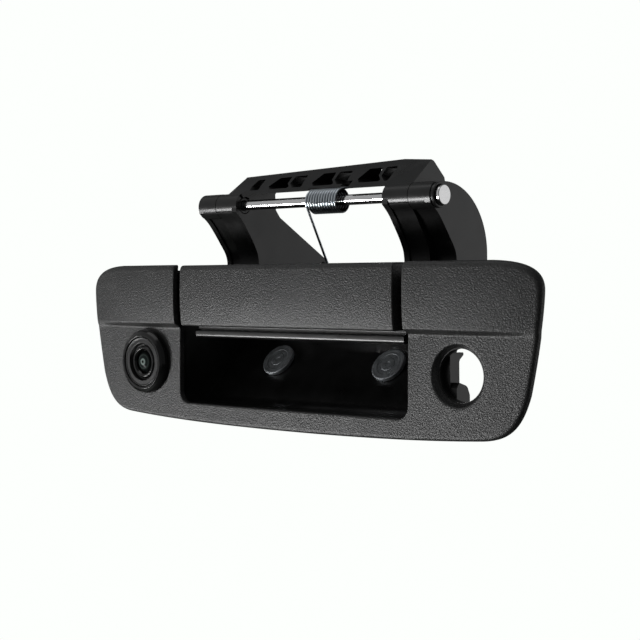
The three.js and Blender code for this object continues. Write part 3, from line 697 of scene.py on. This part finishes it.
def drop_loose(obj):
    """Drops the points that no face uses, and marks the sharp edges."""
    with edited(obj.data) as shape:
        loose = [v for v in shape.verts if not v.link_faces]
        bmesh.ops.delete(shape, geom=loose, context="VERTS")
    obj.data.shade_smooth()
    obj.data.set_sharp_from_angle(angle=math.radians(42))
    return obj


def roll(distance, radius):
    """How far a rounded edge falls back at a distance from the edge."""
    inner = np.clip(radius - distance, 0, radius)
    return radius - np.sqrt(np.maximum(radius ** 2 - inner ** 2, 0))


def smoothstep(low, high, value):
    t = np.clip((value - low) / (high - low), 0, 1)
    return t * t * (3 - 2 * t)


def bow(x):
    """1 in the middle, falling to 0 at the wings' ends."""
    return np.maximum(1 - (x / HALF_WIDTH) ** 2, 0)


CROWN_AT = 57
CROWN_UP = 0.7
CROWN_DOWN = 1.1
FALL_FROM = 100
LEAN = 1.2


def crown(x, z):
    """The upper face falls back towards its top edge and, near the middle, its lower edge."""
    up = np.maximum(z - CROWN_AT, 0) / (TOP - CROWN_AT)
    down = np.maximum(CROWN_AT - z, 0) / (CROWN_AT - STEP_LOW)
    return CROWN_UP * up ** 2 + CROWN_DOWN * bow(x) * down ** 2


def end_fall(x):
    """Both faces fall back over the last stretch of a wing."""
    return (np.maximum(np.abs(x) - FALL_FROM, 0) / (HALF_WIDTH - FALL_FROM)) ** 2


def upper_face(x, z):
    return -7.9 - 5.4 * bow(x) + end_fall(x) + crown(x, z)


def lower_face(x, z):
    """The lower face leans back towards the step."""
    return -7.8 - 1.8 * bow(x) ** 3 + end_fall(x) + LEAN * np.sqrt(bow(x)) * z / STEP_LOW


def bezel_face(points):
    x, z = points[:, 0], points[:, 1]
    step = smoothstep(STEP_LOW, STEP_HIGH, z)
    return lower_face(x, z) * (1 - step) + upper_face(x, z) * step


def flipped(points):
    """The (x, z) points on the other side of x = 0, in the opposite order."""
    return [Vector((-p.x, p.y)) for p in reversed(points)]


def bezel_outline():
    """The right half from the middle of the bottom to the slot, and the pocket's lower corner; bezel()
    mirrors them to the left.
    """
    corners = [
        [(0, BOTTOM), (50, BOTTOM), (80, -1.9), (107, 0.1)],
        [(107, 0.1), (120, 1.1), (125, 8), (128.6, 19.5)],
        [(128.6, 19.5), (131.6, 33), (134.6, 50), (HALF_WIDTH, 60.5)],
        [(HALF_WIDTH, 60.5), (135.3, 68.6), (128.5, 72.7), (112, TOP)],
    ]
    half = []
    for a, b, c, d in corners:
        for k in range(16):
            t = k / 16
            weights = ((1 - t) ** 3, 3 * t * (1 - t) ** 2, 3 * t * t * (1 - t), t ** 3)
            half.append(sum((Vector(p) * w for p, w in zip((a, b, c, d), weights)), Vector((0, 0))))
    half += rounded([(112, TOP), (POCKET_HALF, TOP), (POCKET_HALF, TOP - 8)], 0.9, 4, False)[:-1]
    low = arc((POCKET_HALF - POCKET_CORNER, POCKET_BOTTOM + POCKET_CORNER), POCKET_CORNER, 0, -90, 10)
    return half, [Vector(p) for p in low]


def circle(at, radius, count=72):
    return [Vector(p) for p in arc((at.x, at.z), radius, 0, 360, count)][:-1]


def bezel():
    half, pocket = bezel_outline()
    edge = [*half, *pocket]
    mirror = flipped(edge)[:-1]
    loop = resample([*edge, *mirror], 1.1)
    rim = flipped(half)[:-1] + half
    pocket_line = [half[-1], *pocket, *flipped([half[-1], *pocket])]
    mouth = circle(LOCK_AT, LOCK_R + 1.3)
    seat = circle(CAMERA_AT, 13.8)

    def front(points):
        z = points[:, 1]
        edge_radius = 1.5 + 0.8 * smoothstep(45, 70, z)
        y = bezel_face(points) + roll(distance_to(rim, points), edge_radius)
        y += roll(distance_to(pocket_line, points), 0.6)
        return y + roll(distance_to(mouth, points, True), 0.9)

    def back(points):
        x, z = points[:, 0], points[:, 1]
        gap = distance_to(rim, points)
        face = bezel_face(points)
        beside_wall = (np.abs(x) < RIM_START) & (z > 60)
        on_rim = (gap > LIP_WIDTH + 0.07) & (gap < LIP_WIDTH + RIM_WALL + 0.07) & ~beside_wall
        shell = face + np.where(gap < LIP_WIDTH + 0.07, LIP, SHELL)
        return np.where(on_rim, 0.0, shell)

    def narrow(points):
        """The lock hole tapers to its back edge."""
        off = points - np.array([LOCK_AT.x, LOCK_AT.z])
        far = np.linalg.norm(off, axis=1)
        close = np.abs(far - (LOCK_R + 1.3)) < 0.05
        moved = points.copy()
        moved[close] -= off[close] / far[close, None] * 1.3
        return moved

    x_grid = np.arange(-134, 134.1, 2.1)
    z_grid = [*np.arange(0, 41, 2.1), *np.arange(41.2, 46, 0.5), *np.arange(47, 73, 2.1)]
    inner = LIP_WIDTH + RIM_WALL
    rim_rings = [0.06, 0.25, 0.55, 0.95, 1.5, 2.1, LIP_WIDTH, LIP_WIDTH + 0.14, inner, inner + 0.14]
    lock_rings = [0.05, 0.2, 0.5, 0.9, 1.6]
    rings_of = [rim_rings, lock_rings, [0.8, 2.0]]
    obj = cover("bezel_fine", [loop, mouth, seat], rings_of, front, back, x_grid, z_grid, narrow)
    place(obj, "base", "grained_black", "bezel")
    for i, screw in enumerate(BEZEL_SCREWS, 1):
        at = np.array([[screw.mid.x, screw.mid.z]])
        root = bezel_face(at)[0] + SHELL - 0.3
        end = EAR_FRONT - 0.3
        boss = lathe(
            f"bezel_boss_{i}", [(1.5, root + 0.4), (3.4, root), (3.4, end), (1.5, end)],
            screw.front, Y_AXIS, 40,
        )
        place(boss, "base", "grained_black")


def paddle():
    half = PADDLE.hi.x
    low, high = PADDLE.lo.z, PADDLE.hi.z
    corners = [(-half, low), (half, low), (half, high), (-half, high)]
    loop = resample(rounded(corners, 0.9, 4), 1.1)

    def front(points):
        x, z = points[:, 0], points[:, 1]
        y = upper_face(x, z) + roll(high - z, 2.2) + roll(z - low, 1.1)
        return y + roll(half - np.abs(x), 0.5)

    def back(points):
        hollow = upper_face(points[:, 0], points[:, 1]) + SHELL
        near = distance_to(loop, points, True) < SHELL + 0.07
        return np.where(near, PADDLE.hi.y, hollow)

    x_grid = np.arange(-half, half + 0.1, 2.2)
    z_grid = np.arange(low + 3.4, high - 3, 1.9)
    ring_distances = [0.06, 0.2, 0.45, 0.8, 1.2, 1.7, 2.2, SHELL, SHELL + 0.14]
    obj = cover("paddle_fine", [loop], [ring_distances], front, back, x_grid, z_grid)
    return place(obj, "lever", "grained_black", "paddle")


# ---- finger pocket, side walls and fixed arms ----
FIXED_FRONT = smooth_path(
    [(7.6, 98.2), (13.2, 93.8), (17.8, 88.4), (21.9, 82.9), (24.7, 79), (26.1, 75.5), (26.4, 72)], 4
)
MOVING_FRONT = smooth_path(
    [(7, 98.2), (11.2, 94.3), (14.8, 89.5), (18, 84.8), (20.4, 80.8), (21.8, 77.6), (22.4, 74)], 4
)
EDGE_PROUD = 0.7
POCKET_FLOOR = 6.2
WALL_END = OUTER_OUT - 0.2
TAPER_FROM = 6
TAPER = 0.26
LEDGE = 38.5
SCOOP_TOP = 48
BEHIND_ALL = 50
PIN_PLAY = 0.3
WALL_DIRECTION = Vector((math.cos(STUD_SLOPE), math.sin(STUD_SLOPE)))
BACK_ARC = {"centre": (18.5, 76.5), "radius": 31}


def wall_point(z):
    """A point of the pocket's sloped back wall."""
    return Vector((STUD_SEAT_Y + (z - STUD_SEAT_Z) / math.tan(STUD_SLOPE), z))


def along(path, near, far):
    """The strip between two distances behind a path."""
    front, back = [], []
    for i, point in enumerate(path):
        run = (path[min(i + 1, len(path) - 1)] - path[max(i - 1, 0)]).normalized()
        behind = Vector((-run.y, run.x))
        front.append(point + behind * near)
        back.append(point + behind * far)
    return [*front, *reversed(back)]


def knuckle_arc(start, end, radius=KNUCKLE_R):
    return [Vector(p) for p in arc((PIN_Y, PIN_Z), radius, start, end, 10)]


def c_plate_outline(low):
    """The fixed arm's side plate, from `low` up: curved front, knuckle and round back."""
    front = [Vector((FIXED_FRONT[-1].x, low)), *reversed(FIXED_FRONT)]
    centre, radius = BACK_ARC["centre"], BACK_ARC["radius"]
    back = [Vector(p) for p in arc(centre, radius, 90, 0, 28)]
    return [*front, *knuckle_arc(190, 90), *back, Vector((centre[0] + radius, low))]


def fixed_arm():
    """The right fixed arm, and the collar that only it has, round the pin's head."""
    path = [*FIXED_FRONT, Vector((FIXED_FRONT[-1].x, 46))]
    strip = along(path, EDGE_PROUD, ARM_WALL)
    collar = lathe(
        "collar",
        [(4.6, OUTER_OUT - 1), (5.6, OUTER_OUT - 1), (5.6, OUTER_OUT + 1.7), (4.6, OUTER_OUT + 1.7)],
        PIN_AT, X_AXIS, 72, 0.2,
    )
    return [
        prism(c_plate_outline(40), OUTER_OUT - ARM_WALL, OUTER_OUT),
        prism(strip, OUTER_IN, OUTER_OUT - 1),
        rod(KNUCKLE_R, OUTER_IN, OUTER_OUT, PIN_AT, X_AXIS, 72),
    ], collar


def end_at(y):
    """How far out the pocket's end wall is: it draws in behind TAPER_FROM."""
    return WALL_END - TAPER * max(y - TAPER_FROM, 0)


def side_wall():
    """The upper side wall, the drawn-in lower wall and the ledge between them."""
    inner = WALL_END
    outer = inner + 2.7
    foot = POCKET_FLOOR - 2.2
    back = wall_point(LEDGE).x + 1
    upper = [
        (EAR_FRONT, LEDGE - 0.5), (EAR_FRONT, 41.5), (-6.4, 43.5), (-6.4, 69.4), (30, 69.4), (30, 71),
        (49.5, 71), (49.5, 40), (back, LEDGE), (TAPER_FROM - 1, LEDGE), (TAPER_FROM - 1, LEDGE - 0.5),
    ]
    lower = [
        (EAR_FRONT, foot), (EAR_FRONT, LEDGE + 0.5), (back, LEDGE + 0.5),
        (wall_point(9).x + 1, 9), (wall_point(9).x - 1, foot),
    ]
    plan = [(end_at(y), y) for y in (BEHIND_ALL, TAPER_FROM, EAR_FRONT - 1)]
    plan += [(x + 2.5, y) for x, y in reversed(plan)]
    slanted = shared(prism(lower, end_at(BEHIND_ALL) - 1, outer + 1), prism(plan, 0, LEDGE + 0.5, "z"))
    shelf = prism(
        [(inner + 1, TAPER_FROM + 0.5), (inner + 1, back + 0.6), (end_at(back) + 0.5, back + 0.6),
         (inner + 0.4, TAPER_FROM + 0.5)],
        LEDGE - 0.3, LEDGE + 1.3, "z",
    )
    ears = [
        block(inner + 1, s.mid.x + 4, EAR_FRONT, EAR_BACK, s.mid.z - 4.5, s.mid.z + 4.5)
        for s in BEZEL_SCREWS
        if s.mid.x > 0
    ]
    return [prism(upper, inner, outer), slanted, shelf, *ears]


def scoop():
    """Floor, rounded heel and sloped back of the finger pocket."""
    wall = 2.5
    heel = wall_point(POCKET_FLOOR).x
    top = wall_point(SCOOP_TOP).x
    across = wall * 1.3
    inner = rounded(
        [(EAR_FRONT, POCKET_FLOOR), (heel, POCKET_FLOOR), (top, SCOOP_TOP)], 9, 10, closed=False
    )
    outer = rounded(
        [(top + across, SCOOP_TOP), (heel + across, POCKET_FLOOR - 1), (heel - 4, POCKET_FLOOR - wall),
         (EAR_FRONT, POCKET_FLOOR - wall)],
        5, 6, closed=False,
    )
    outline = [*inner, *outer]
    right = [(end_at(y) + 0.2, y) for y in (EAR_FRONT - 1, TAPER_FROM, BEHIND_ALL)]
    plan = [*right, *[(-x, y) for x, y in reversed(right)]]
    lower = shared(prism(outline, -OUTER_OUT, OUTER_OUT), prism(plan, 0, LEDGE + 0.5, "z"))
    above_ledge = block(-80, 80, 0, BEHIND_ALL, LEDGE, SCOOP_TOP + 1)
    upper = shared(prism(outline, -OUTER_OUT, OUTER_OUT), above_ledge)
    return [lower, upper]


def handle_base():
    """The finger pocket with its side walls and fixed arms, bored for the pin, studs and screws."""
    arm, collar = fixed_arm()
    side = [*arm, *side_wall()]
    mirror = [mirrored(o) for o in side]
    cuts = [rod(PIN_R + PIN_PLAY, -80, 80, PIN_AT, X_AXIS, 40)]
    for stud in STUDS.values():
        seat = Vector((stud.mid.x, STUD_SEAT_Y, STUD_SEAT_Z))
        cuts.append(rod(3.3, -8, 12, seat, STUD_AXIS, 40))
    for s in BEZEL_SCREWS:
        cuts.append(rod(1.5, -6, 1, s.front, Y_AXIS, 24))
    obj = fused("handle_base_fine", [*scoop(), *side, *mirror, collar], cuts)
    return place(soften(obj, 0.38), "base", "smooth_black", "handle_base")


# ---- moving lever ----
BAR_PROFILE = [(10.3, 106.3), (24.9, 116.7), (26.6, 116.2), (34.2, 110), (34.6, 108.7)]
BAY_STARTS = (-58, -30.3, -2.6, 25.1)
POCKET_A = [(1.8, 114.1), (9.4, 114.1), (10.5, 110.8), (14.5, 108.5), (1.5, 108.5), (-1, 110)]
POCKET_B = [(11.6, 114.1), (19.6, 114.1), (20.5, 110.8), (22, 108.5), (16, 108.5), (12.2, 110.6)]
LEFT_BLOCK_OUT = 54.5
BUSH_SEAT_R = 4.1
ROD_EYE = Vector((0, 69.5, 71.5))
ROD_EYE_R = 2.6
RISE_AT_MIDDLE = 0.9
RISE_SLOPE = 0.0306
COIL_LEFT = -0.3
COIL_RIGHT = 17.5
COIL_R = 5.3
WIRE_R = 0.58
TURNS = 11


def gusset_outline():
    """A moving arm's side plate, with its long tail and the bar's section on top."""
    root = 60.5
    shoulder = 71.5
    tail = rounded(
        [(35, 99.7), (37.8, 96.1), (72, 75.2), (76, 71.5), (74, 69), (48, 66), (36, root)],
        2.5, 4, closed=False,
    )
    front = [*reversed(MOVING_FRONT)]
    return [
        *knuckle_arc(155, 150), *[Vector(p) for p in BAR_PROFILE], *tail,
        Vector((0, root)), Vector((0, shoulder)), Vector((front[0].x, shoulder)), *front,
        *knuckle_arc(190, 180),
    ]


def bar_rise(x, z):
    """The bar's top edge rises to the right, then falls over the last stretch."""
    peak = INNER_IN + ARM_WALL
    share = max(z - BAR_PROFILE[0][1], 0) / (BAR_PROFILE[1][1] - BAR_PROFILE[0][1])
    over = max(x - peak, 0) / (INNER_OUT - peak)
    return share * (RISE_AT_MIDDLE + RISE_SLOPE * min(x, peak)) * (1 - 0.5 * over)


def moving_arm(block_out):
    """The parts of the right moving arm, its end block reaching out to `block_out`."""
    path = [*MOVING_FRONT, Vector((MOVING_FRONT[-1].x, 72))]
    strip = along(path, EDGE_PROUD, ARM_WALL + 3.5)
    end_block = [*BAR_PROFILE, (33, 106.5), (12, 104)]
    return [
        prism(gusset_outline(), INNER_IN, INNER_IN + ARM_WALL),
        prism(strip, INNER_IN + 1, INNER_OUT),
        prism(end_block, INNER_IN - 1, block_out),
        rod(KNUCKLE_R, INNER_IN, INNER_OUT, PIN_AT, X_AXIS, 72),
    ]


def lever_frame():
    """Both moving arms and the ribbed bar between them, which are one moulding."""
    bar = prism(BAR_PROFILE, -INNER_IN - 0.5, INNER_IN + 0.5)
    right = moving_arm(INNER_OUT)
    copied = moving_arm(LEFT_BLOCK_OUT)
    left = [mirrored(o) for o in copied]
    for obj in copied:
        bpy.data.objects.remove(obj)
    cuts = [
        rod(BUSH_SEAT_R, -80, 80, PIN_AT, X_AXIS, 48),
        rod(ROD_EYE_R, -80, 80, ROD_EYE, X_AXIS, 32),
    ]
    edge = INNER_IN - 1.8
    for start in BAY_STARTS:
        for outline in (POCKET_A, POCKET_B):
            moved = [(min(max(x + start, -edge), edge), z) for x, z in outline]
            if max(x for x, _ in moved) - min(x for x, _ in moved) > 1:
                cuts.append(prism(rounded(moved, 0.5, 2), 0, 30, "y"))
    coil_top = PIN_Z + COIL_R + WIRE_R + 0.3
    cuts.append(block(COIL_RIGHT - 0.5, COIL_RIGHT + 4.5, 5, 24, 100, 109.6))
    cuts.append(block(COIL_LEFT - 1.8, COIL_RIGHT, 5, 22, 100, coil_top))
    obj = fused("lever_frame", [bar, *right, *left], cuts)
    for vertex in obj.data.vertices:
        vertex.co.z += bar_rise(vertex.co.x / MM, vertex.co.z / MM) * MM
    return place(
        soften(obj, 0.35), "lever", "smooth_black", "lever_arm_left", "lever_arm_right", "lever_bar"
    )


def paddle_liner():
    """Back plate of the paddle, grooved finger lip, pocket ceiling and two end caps."""
    front = LINER.lo.y
    low = LINER.lo.z
    back = LINER.hi.y
    top = LINER.hi.z
    wall = 2.2
    groove = 1.8
    outer = rounded(
        [(front, top), (front, 43.8), (front + groove, 43.3), (front + groove, 42), (front, 41.3),
         (front, low), (3.1, low), (8.9, 57.6), (back, 58)],
        [0, 0.3, 0.3, 0.4, 0.4, 2.4, 1.6, 3, 0], 6, closed=False,
    )
    inner = rounded(
        [(back, 60.2), (7.4, 59.8), (2.3, 40.7), (0.9, 40.7), (0.9, 44.6), (front + wall, 46),
         (front + wall, top)],
        [0, 2, 1, 0.4, 0.5, 0.5, 0], 4, closed=False,
    )
    skin = prism([*outer, *inner], LINER.lo.x, LINER.hi.x)
    cap = [*outer, (back, top)]
    caps = [prism(cap, x, x + wall) for x in (LINER.lo.x, LINER.hi.x - wall)]
    cuts = []
    for i in (1, 2, 3, 4):
        s = Span(f"paddle_screw_{i}")
        cuts.append(rod(1.5, -8, 2, s.front, Y_AXIS, 24))
    obj = fused("paddle_liner_fine", [skin, *caps], cuts)
    return place(soften(obj, 0.3), "lever", "smooth_black", "paddle_liner")


# ---- hinge pin and return spring ----
def hinge():
    head = OUTER_OUT + 0.3
    tip = PIN.lo.x
    profile = [
        (0, tip), (PIN_R - 0.6, tip), (PIN_R, tip + 0.6), (PIN_R, head), (4.33, head),
        (4.33, PIN.hi.x), (0, PIN.hi.x),
    ]
    pin = lathe("hinge_pin_fine", profile, PIN_AT, X_AXIS, 96, [0, 0.2, 0.3, 0.1, 0.1, 0.35, 0], 4)
    place(pin, "base", "polished_steel", "hinge_pin")
    ring = Span("pin_retainer")
    profile = [(2.7, ring.lo.x), (4.6, ring.lo.x), (4.6, ring.hi.x), (2.7, ring.hi.x)]
    place(lathe("pin_retainer_fine", profile, PIN_AT, X_AXIS, 64), "base", "zinc_steel", "pin_retainer")
    for side in ("left", "right"):
        s = Span(f"pivot_bushing_{side}")
        profile = [(PIN_R + 0.15, s.lo.x), (3.8, s.lo.x), (3.8, s.hi.x), (PIN_R + 0.15, s.hi.x)]
        bush = lathe(f"pivot_bushing_{side}_fine", profile, PIN_AT, X_AXIS, 64, 0.2)
        place(bush, "lever", "acetal", f"pivot_bushing_{side}")


def on_coil(x, angle):
    return Vector((x, PIN_Y + COIL_R * math.cos(angle), PIN_Z + COIL_R * math.sin(angle)))


def spring_path():
    """The wire's centre line: leg up from the pocket's back, the coil, then the hook in the bar."""
    foot = Vector((COIL_LEFT, 38.2, 42.7))
    reach = math.hypot(foot.z - PIN_Z, foot.y - PIN_Y)
    start = math.atan2(foot.z - PIN_Z, foot.y - PIN_Y) - math.acos(COIL_R / reach)
    points = [foot.lerp(on_coil(COIL_LEFT, start), i / 10.6) for i in range(11)]
    sweep = 2 * math.pi * TURNS + 1.9
    steps = TURNS * 36
    for i in range(steps + 1):
        t = i / steps
        points.append(on_coil(COIL_LEFT + (COIL_RIGHT - COIL_LEFT) * t, start - sweep * t))
    end = start - sweep
    tangent = Vector((0, math.sin(end), -math.cos(end)))
    for far in (1.25, 2.5, 3.75, 5, 6.25, 7.5):
        points.append(on_coil(COIL_RIGHT + 0.15 * far, end) + tangent * far)
    return points


def tube(name, path, radius, sides=18):
    """A round wire along a path, with slightly domed ends."""
    vertices, faces = [], []
    side = None
    count = len(path)
    for i, point in enumerate(path):
        run = (path[min(i + 1, count - 1)] - path[max(i - 1, 0)]).normalized()
        side = run.orthogonal() if side is None else side
        side = (side - run * side.dot(run)).normalized()
        other = run.cross(side)
        for k in range(sides):
            angle = 2 * math.pi * k / sides
            vertices.append(point + (side * math.cos(angle) + other * math.sin(angle)) * radius)
    for i in range(count - 1):
        for k in range(sides):
            n = (k + 1) % sides
            a, b = i * sides, (i + 1) * sides
            faces.append([a + k, a + n, b + n, b + k])
    for end, beyond in ((0, path[0] - path[1]), (count - 1, path[-1] - path[-2])):
        tip = len(vertices)
        vertices.append(path[end] + beyond.normalized() * radius * 0.35)
        faces += [[end * sides + k, end * sides + (k + 1) % sides, tip] for k in range(sides)]
    return make_object(name, vertices, faces)


def torsion_spring():
    spring = tube("torsion_spring_fine", spring_path(), WIRE_R)
    points = [v.co / MM for v in spring.data.vertices]
    # Marks the wire's inner half, towards the coil's axis, and its sides between turns as "gap", which
    # zinc_steel() paints with shade.
    out = [math.hypot(p.y - PIN_Y, p.z - PIN_Z) - COIL_R for p in points]
    crest = smoothstep(0, 0.5 * WIRE_R, np.array(out))
    gap = spring.data.attributes.new("gap", "FLOAT", "POINT")
    gap.data.foreach_set("value", (1 - crest).astype(np.float32))
    spring.data.materials.append(FINISHES["zinc_steel"])
    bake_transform(spring)
    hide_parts("torsion_spring")


# ---- studs ----
def studs():
    """Turned heads with a raised rim and three shallow steps, on plain shanks."""
    seat_out = -0.3
    face = seat_out - 2
    fine = 0.05
    for side, s in STUDS.items():
        at = Vector((s.mid.x, STUD_SEAT_Y, STUD_SEAT_Z))
        profile = [
            (0, face + 0.15), (1.1, face + 0.15), (1.3, face + 0.05), (3.4, face + 0.05),
            (3.6, face + 0.18), (5.6, face + 0.18), (5.8, face + 0.05), (7.2, face + 0.05),
            (7.4, face), (8.5, face), (8.5, seat_out), (3, seat_out), (3, 25), (2, 26), (0, 26),
        ]
        edges = [0, *[fine] * 8, 0.45, 0.2, 0.1, 0.2, 0.2, 0]
        stud = lathe(f"mounting_stud_{side}_fine", profile, at, STUD_AXIS, 96, edges)
        place(stud, "base", "stud_steel", f"mounting_stud_{side}")


# ---- lock retainer ----
def lock_retainer():
    """Ring behind the lock hole with a hooked clip plate and a rounded finger."""
    plane = LOCK_AT.x - 7.7
    bore, rim = LOCK_R - 0.3, LOCK_R + 2.8
    front, back = -4.9, -1.4
    section = [(bore, front), (rim, front), (rim, back), (bore, back)]
    ring = lathe("ring", section, LOCK_AT, Y_AXIS, 72, 0)
    clip = rounded(
        [(-1.6, -4.1), (-1.6, 7.3), (-1, 8.7), (7.6, 8.7), (7.6, 7.6), (5.2, 5.9), (4.6, 4.9),
         (4.6, -4.1)],
        0.4, 2,
    )
    finger = rounded(
        [(-1.6, -12), (-1.6, -5.8), (0.2, -3.4), (5.8, -5.2), (7.6, -9), (7.6, -12)],
        [0, 0.4, 0.5, 3, 2, 0], 8,
    )
    parts = [
        ring,
        block(plane - 4.6, plane, -1.8, 0, LOCK_AT.z - 9, LOCK_AT.z + 8.7),
        prism([(y, LOCK_AT.z + dz) for y, dz in clip], plane - 2, plane),
        prism([(y, LOCK_AT.z + dz) for y, dz in finger], plane - 1.2, plane + 3.1),
    ]
    obj = fused("lock_retainer_fine", parts)
    return place(soften(obj, 0.25), "base", "smooth_black", "lock_retainer")


# ---- camera ----
def camera_front():
    """The stepped round front: distances run into the bezel from its face."""
    rows = [
        ("camera_trim_ring", "gloss_black", 0.25, [
            (12.3, -3.8), (12.7, -4), (13.5, -4), (14.7, -3.3), (15.6, -2), (16, -0.6),
            (13.4, -0.6), (13.4, 10.4), (12.3, 10.4),
        ]),
        ("camera_face_cone", "smooth_black", 0.2, [
            (12, -3.6), (12, -0.6), (8.2, -0.6), (8.2, -1.3), (8.7, -1.5), (9.3, -3.35), (11.2, -3.3),
            (11.5, -3.5),
        ]),
        ("lens_hood", "gloss_black", 0.25, [
            (5.7, -0.3), (7.9, -0.3), (7.9, -2), (7.3, -2.7), (6.4, -2.7), (5.7, -1.8),
        ]),
        ("lens_seal", "rubber", 0.1, [(5.4, 0.3), (7.8, 0.3), (7.8, 1.5), (5.4, 1.5)]),
        ("lens_barrel", "smooth_black", 0.1, [
            (2.2, 0.3), (5, 0.3), (5, 2), (7, 2), (7, 12), (4.2, 12), (4.2, 2.6), (2.2, 1.6),
        ]),
        ("camera_housing", "smooth_black", 0.2, [
            (12, 0), (12, 20), (10.4, 20), (10.4, 2), (8, 2), (8, 0),
        ]),
        ("cable_gland", "rubber", 0.25, [
            (1.6, 19.2), (5, 19.2), (5, 20), (3.1, 20), (3.1, 23.5), (5, 23.5), (4.7, 25.2),
            (4.1, 25.4), (4.1, 26.2), (4.5, 26.4), (4.2, 27.6), (3.7, 27.8), (3.7, 28.6), (4, 28.8),
            (3.7, 31), (1.6, 31),
        ]),
    ]
    for node, slot, edge, profile in rows:
        place(lathe(f"{node}_fine", profile, CAMERA_AT, Y_AXIS, 112, edge), "base", slot, node)


def lens():
    dome, rim = 9, 5.3
    steps = 14
    line = [
        (rim * i / steps, -2.9 + dome - math.sqrt(dome ** 2 - (rim * i / steps) ** 2))
        for i in range(steps + 1)
    ]
    front = lathe("lens_glass_fine", [*line, (rim, 0), (0, 0)], CAMERA_AT, Y_AXIS, 96, 0)
    place(front, "base", "lens_glass", "lens_glass")


# ---- pieces whose CAD shape is right ----
def refined(node, body, slot, width=0.15):
    """A small piece in its CAD shape, welded, with soft edges."""
    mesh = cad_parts[node].data.copy()
    tidy_mesh(mesh, 0.4)
    return place(soften(linked(f"{node}_fine", mesh), width, 2, 32), body, slot, node)


def small_pieces():
    for i in (1, 2, 3, 4):
        refined(f"bezel_screw_{i}", "base", "zinc_steel")
        refined(f"paddle_screw_{i}", "lever", "zinc_steel")
    for side in ("left", "right"):
        refined(f"stud_washer_{side}", "base", "rubber", 0.25)
        refined(f"flange_nut_{side}", "base", "zinc_steel", 0.2)
        refined(f"bump_stop_{side}", "base", "rubber", 0.4)
        refined(f"wing_gasket_{side}", "base", "foam_seal", 0.2)
    for i in (1, 2):
        refined(f"cover_screw_{i}", "base", "zinc_steel", 0.1)
    refined("camera_ring_nut", "base", "smooth_black", 0.2)
    refined("camera_back_cover", "base", "smooth_black", 0.2)
    refined("rear_lens", "base", "lens_glass", 0.1)
    refined("sensor_board", "base", "circuit_board", 0.1)
    refined("image_sensor", "base", "sensor_chip", 0.1)


# ---- camera, floor and light ----
def photo_camera():
    """From the right, at the height of the bezel's top, looking slightly down and a little rolled."""
    data = bpy.data.cameras.new("view")
    data.lens = 78.35
    data.sensor_width = 36
    camera = linked("view", data)
    place_at = Vector((428.9, -467.2, 70.6)) * MM
    turn = [math.radians(a) for a in (90 - 2.118, -0.729, 41.591)]
    yaw = Matrix.Rotation(turn[2], 4, "Z")
    pitch = Matrix.Rotation(turn[0], 4, "X")
    tilt = Matrix.Rotation(turn[1], 4, "Z")
    camera.matrix_world = Matrix.Translation(place_at) @ yaw @ pitch @ tilt
    bpy.context.scene.camera = camera


def softbox(name, at, target, width, height, power, colour=(1, 1, 1)):
    data = bpy.data.lights.new(name, "AREA")
    data.shape = "RECTANGLE"
    data.size = width
    data.size_y = height
    data.energy = power
    data.color = colour
    light = linked(name, data)
    light.location = at
    light.rotation_mode = "QUATERNION"
    light.rotation_quaternion = (Vector(target) - Vector(at)).to_track_quat("-Z", "Y")
    return light


AIM_HEIGHT = 0.04


def aimed(azimuth, elevation, far):
    """A place `far` metres from the handle, its azimuth in degrees to the left of straight in front."""
    turn, lift = math.radians(azimuth), math.radians(elevation)
    level = far * math.cos(lift)
    return Vector((-level * math.sin(turn), -level * math.cos(turn), far * math.sin(lift) + AIM_HEIGHT))


def to_camera_only(nodes, links, seen, other):
    """Mixes two shaders: one for what the camera sees, one for all other rays."""
    path = nodes.new("ShaderNodeLightPath")
    mix = nodes.new("ShaderNodeMixShader")
    links.new(path.outputs["Is Camera Ray"], mix.inputs["Fac"])
    links.new(other, mix.inputs[1])
    links.new(seen, mix.inputs[2])
    return mix.outputs["Shader"]


def studio():
    """A dim surround, white to the camera, with a small key low on the left and three soft panels."""
    scene = bpy.context.scene
    scene.view_settings.view_transform = "Standard"
    world = bpy.data.worlds.new("studio")
    world.use_nodes = True
    scene.world = world
    nodes, links = world.node_tree.nodes, world.node_tree.links
    surround = nodes["Background"]
    surround.inputs["Color"].default_value = (0.97, 0.99, 1.0, 1)
    surround.inputs["Strength"].default_value = 0.12
    backdrop = nodes.new("ShaderNodeBackground")
    backdrop.inputs["Color"].default_value = (*WHITE, 1)
    both = to_camera_only(nodes, links, backdrop.outputs[0], surround.outputs[0])
    links.new(both, nodes["World Output"].inputs["Surface"])
    centre = (0, 0, AIM_HEIGHT)
    softbox("key", aimed(43.5, -22, 1.2), centre, 0.3, 0.3, 9.6)
    softbox("fill", aimed(55, 22, 1.5), centre, 2.6, 2.0, 3.8)
    softbox("behind", aimed(222, 0, 1.3), centre, 1.1, 0.9, 1.8)
    softbox("top", (-0.3, -0.2, 1.2), centre, 0.8, 0.8, 1.5)


def floor():
    """A pale floor well below the handle, white to the camera."""
    half = 4.0
    level = (BOTTOM - 650) * MM
    mesh = bpy.data.meshes.new("floor")
    mesh.from_pydata(
        [(-half, -half, level), (half, -half, level), (half, half, level), (-half, half, level)],
        [], [(0, 1, 2, 3)],
    )
    obj = linked("floor", mesh)
    f = Finish("pale_floor", specular=0.2)
    mottle = f.noise(300, 2.0)
    f.link("Base Color", f.ramp(mottle, (0.3, (0.16, 0.17, 0.16)), (0.7, (0.18, 0.19, 0.18))))
    f.set("Roughness", 0.9)
    lit = f.nodes.new("ShaderNodeEmission")
    lit.inputs["Color"].default_value = (*WHITE, 1)
    both = to_camera_only(f.nodes, f.links, lit.outputs[0], f.shader.outputs[0])
    f.links.new(both, f.nodes["Material Output"].inputs["Surface"])
    mesh.materials.append(f.material)


photo_camera()
studio()
floor()
bezel()
paddle()
handle_base()
lever_frame()
paddle_liner()
hinge()
torsion_spring()
studs()
lock_retainer()
camera_front()
lens()
small_pieces()

bpy.context.view_layer.update()
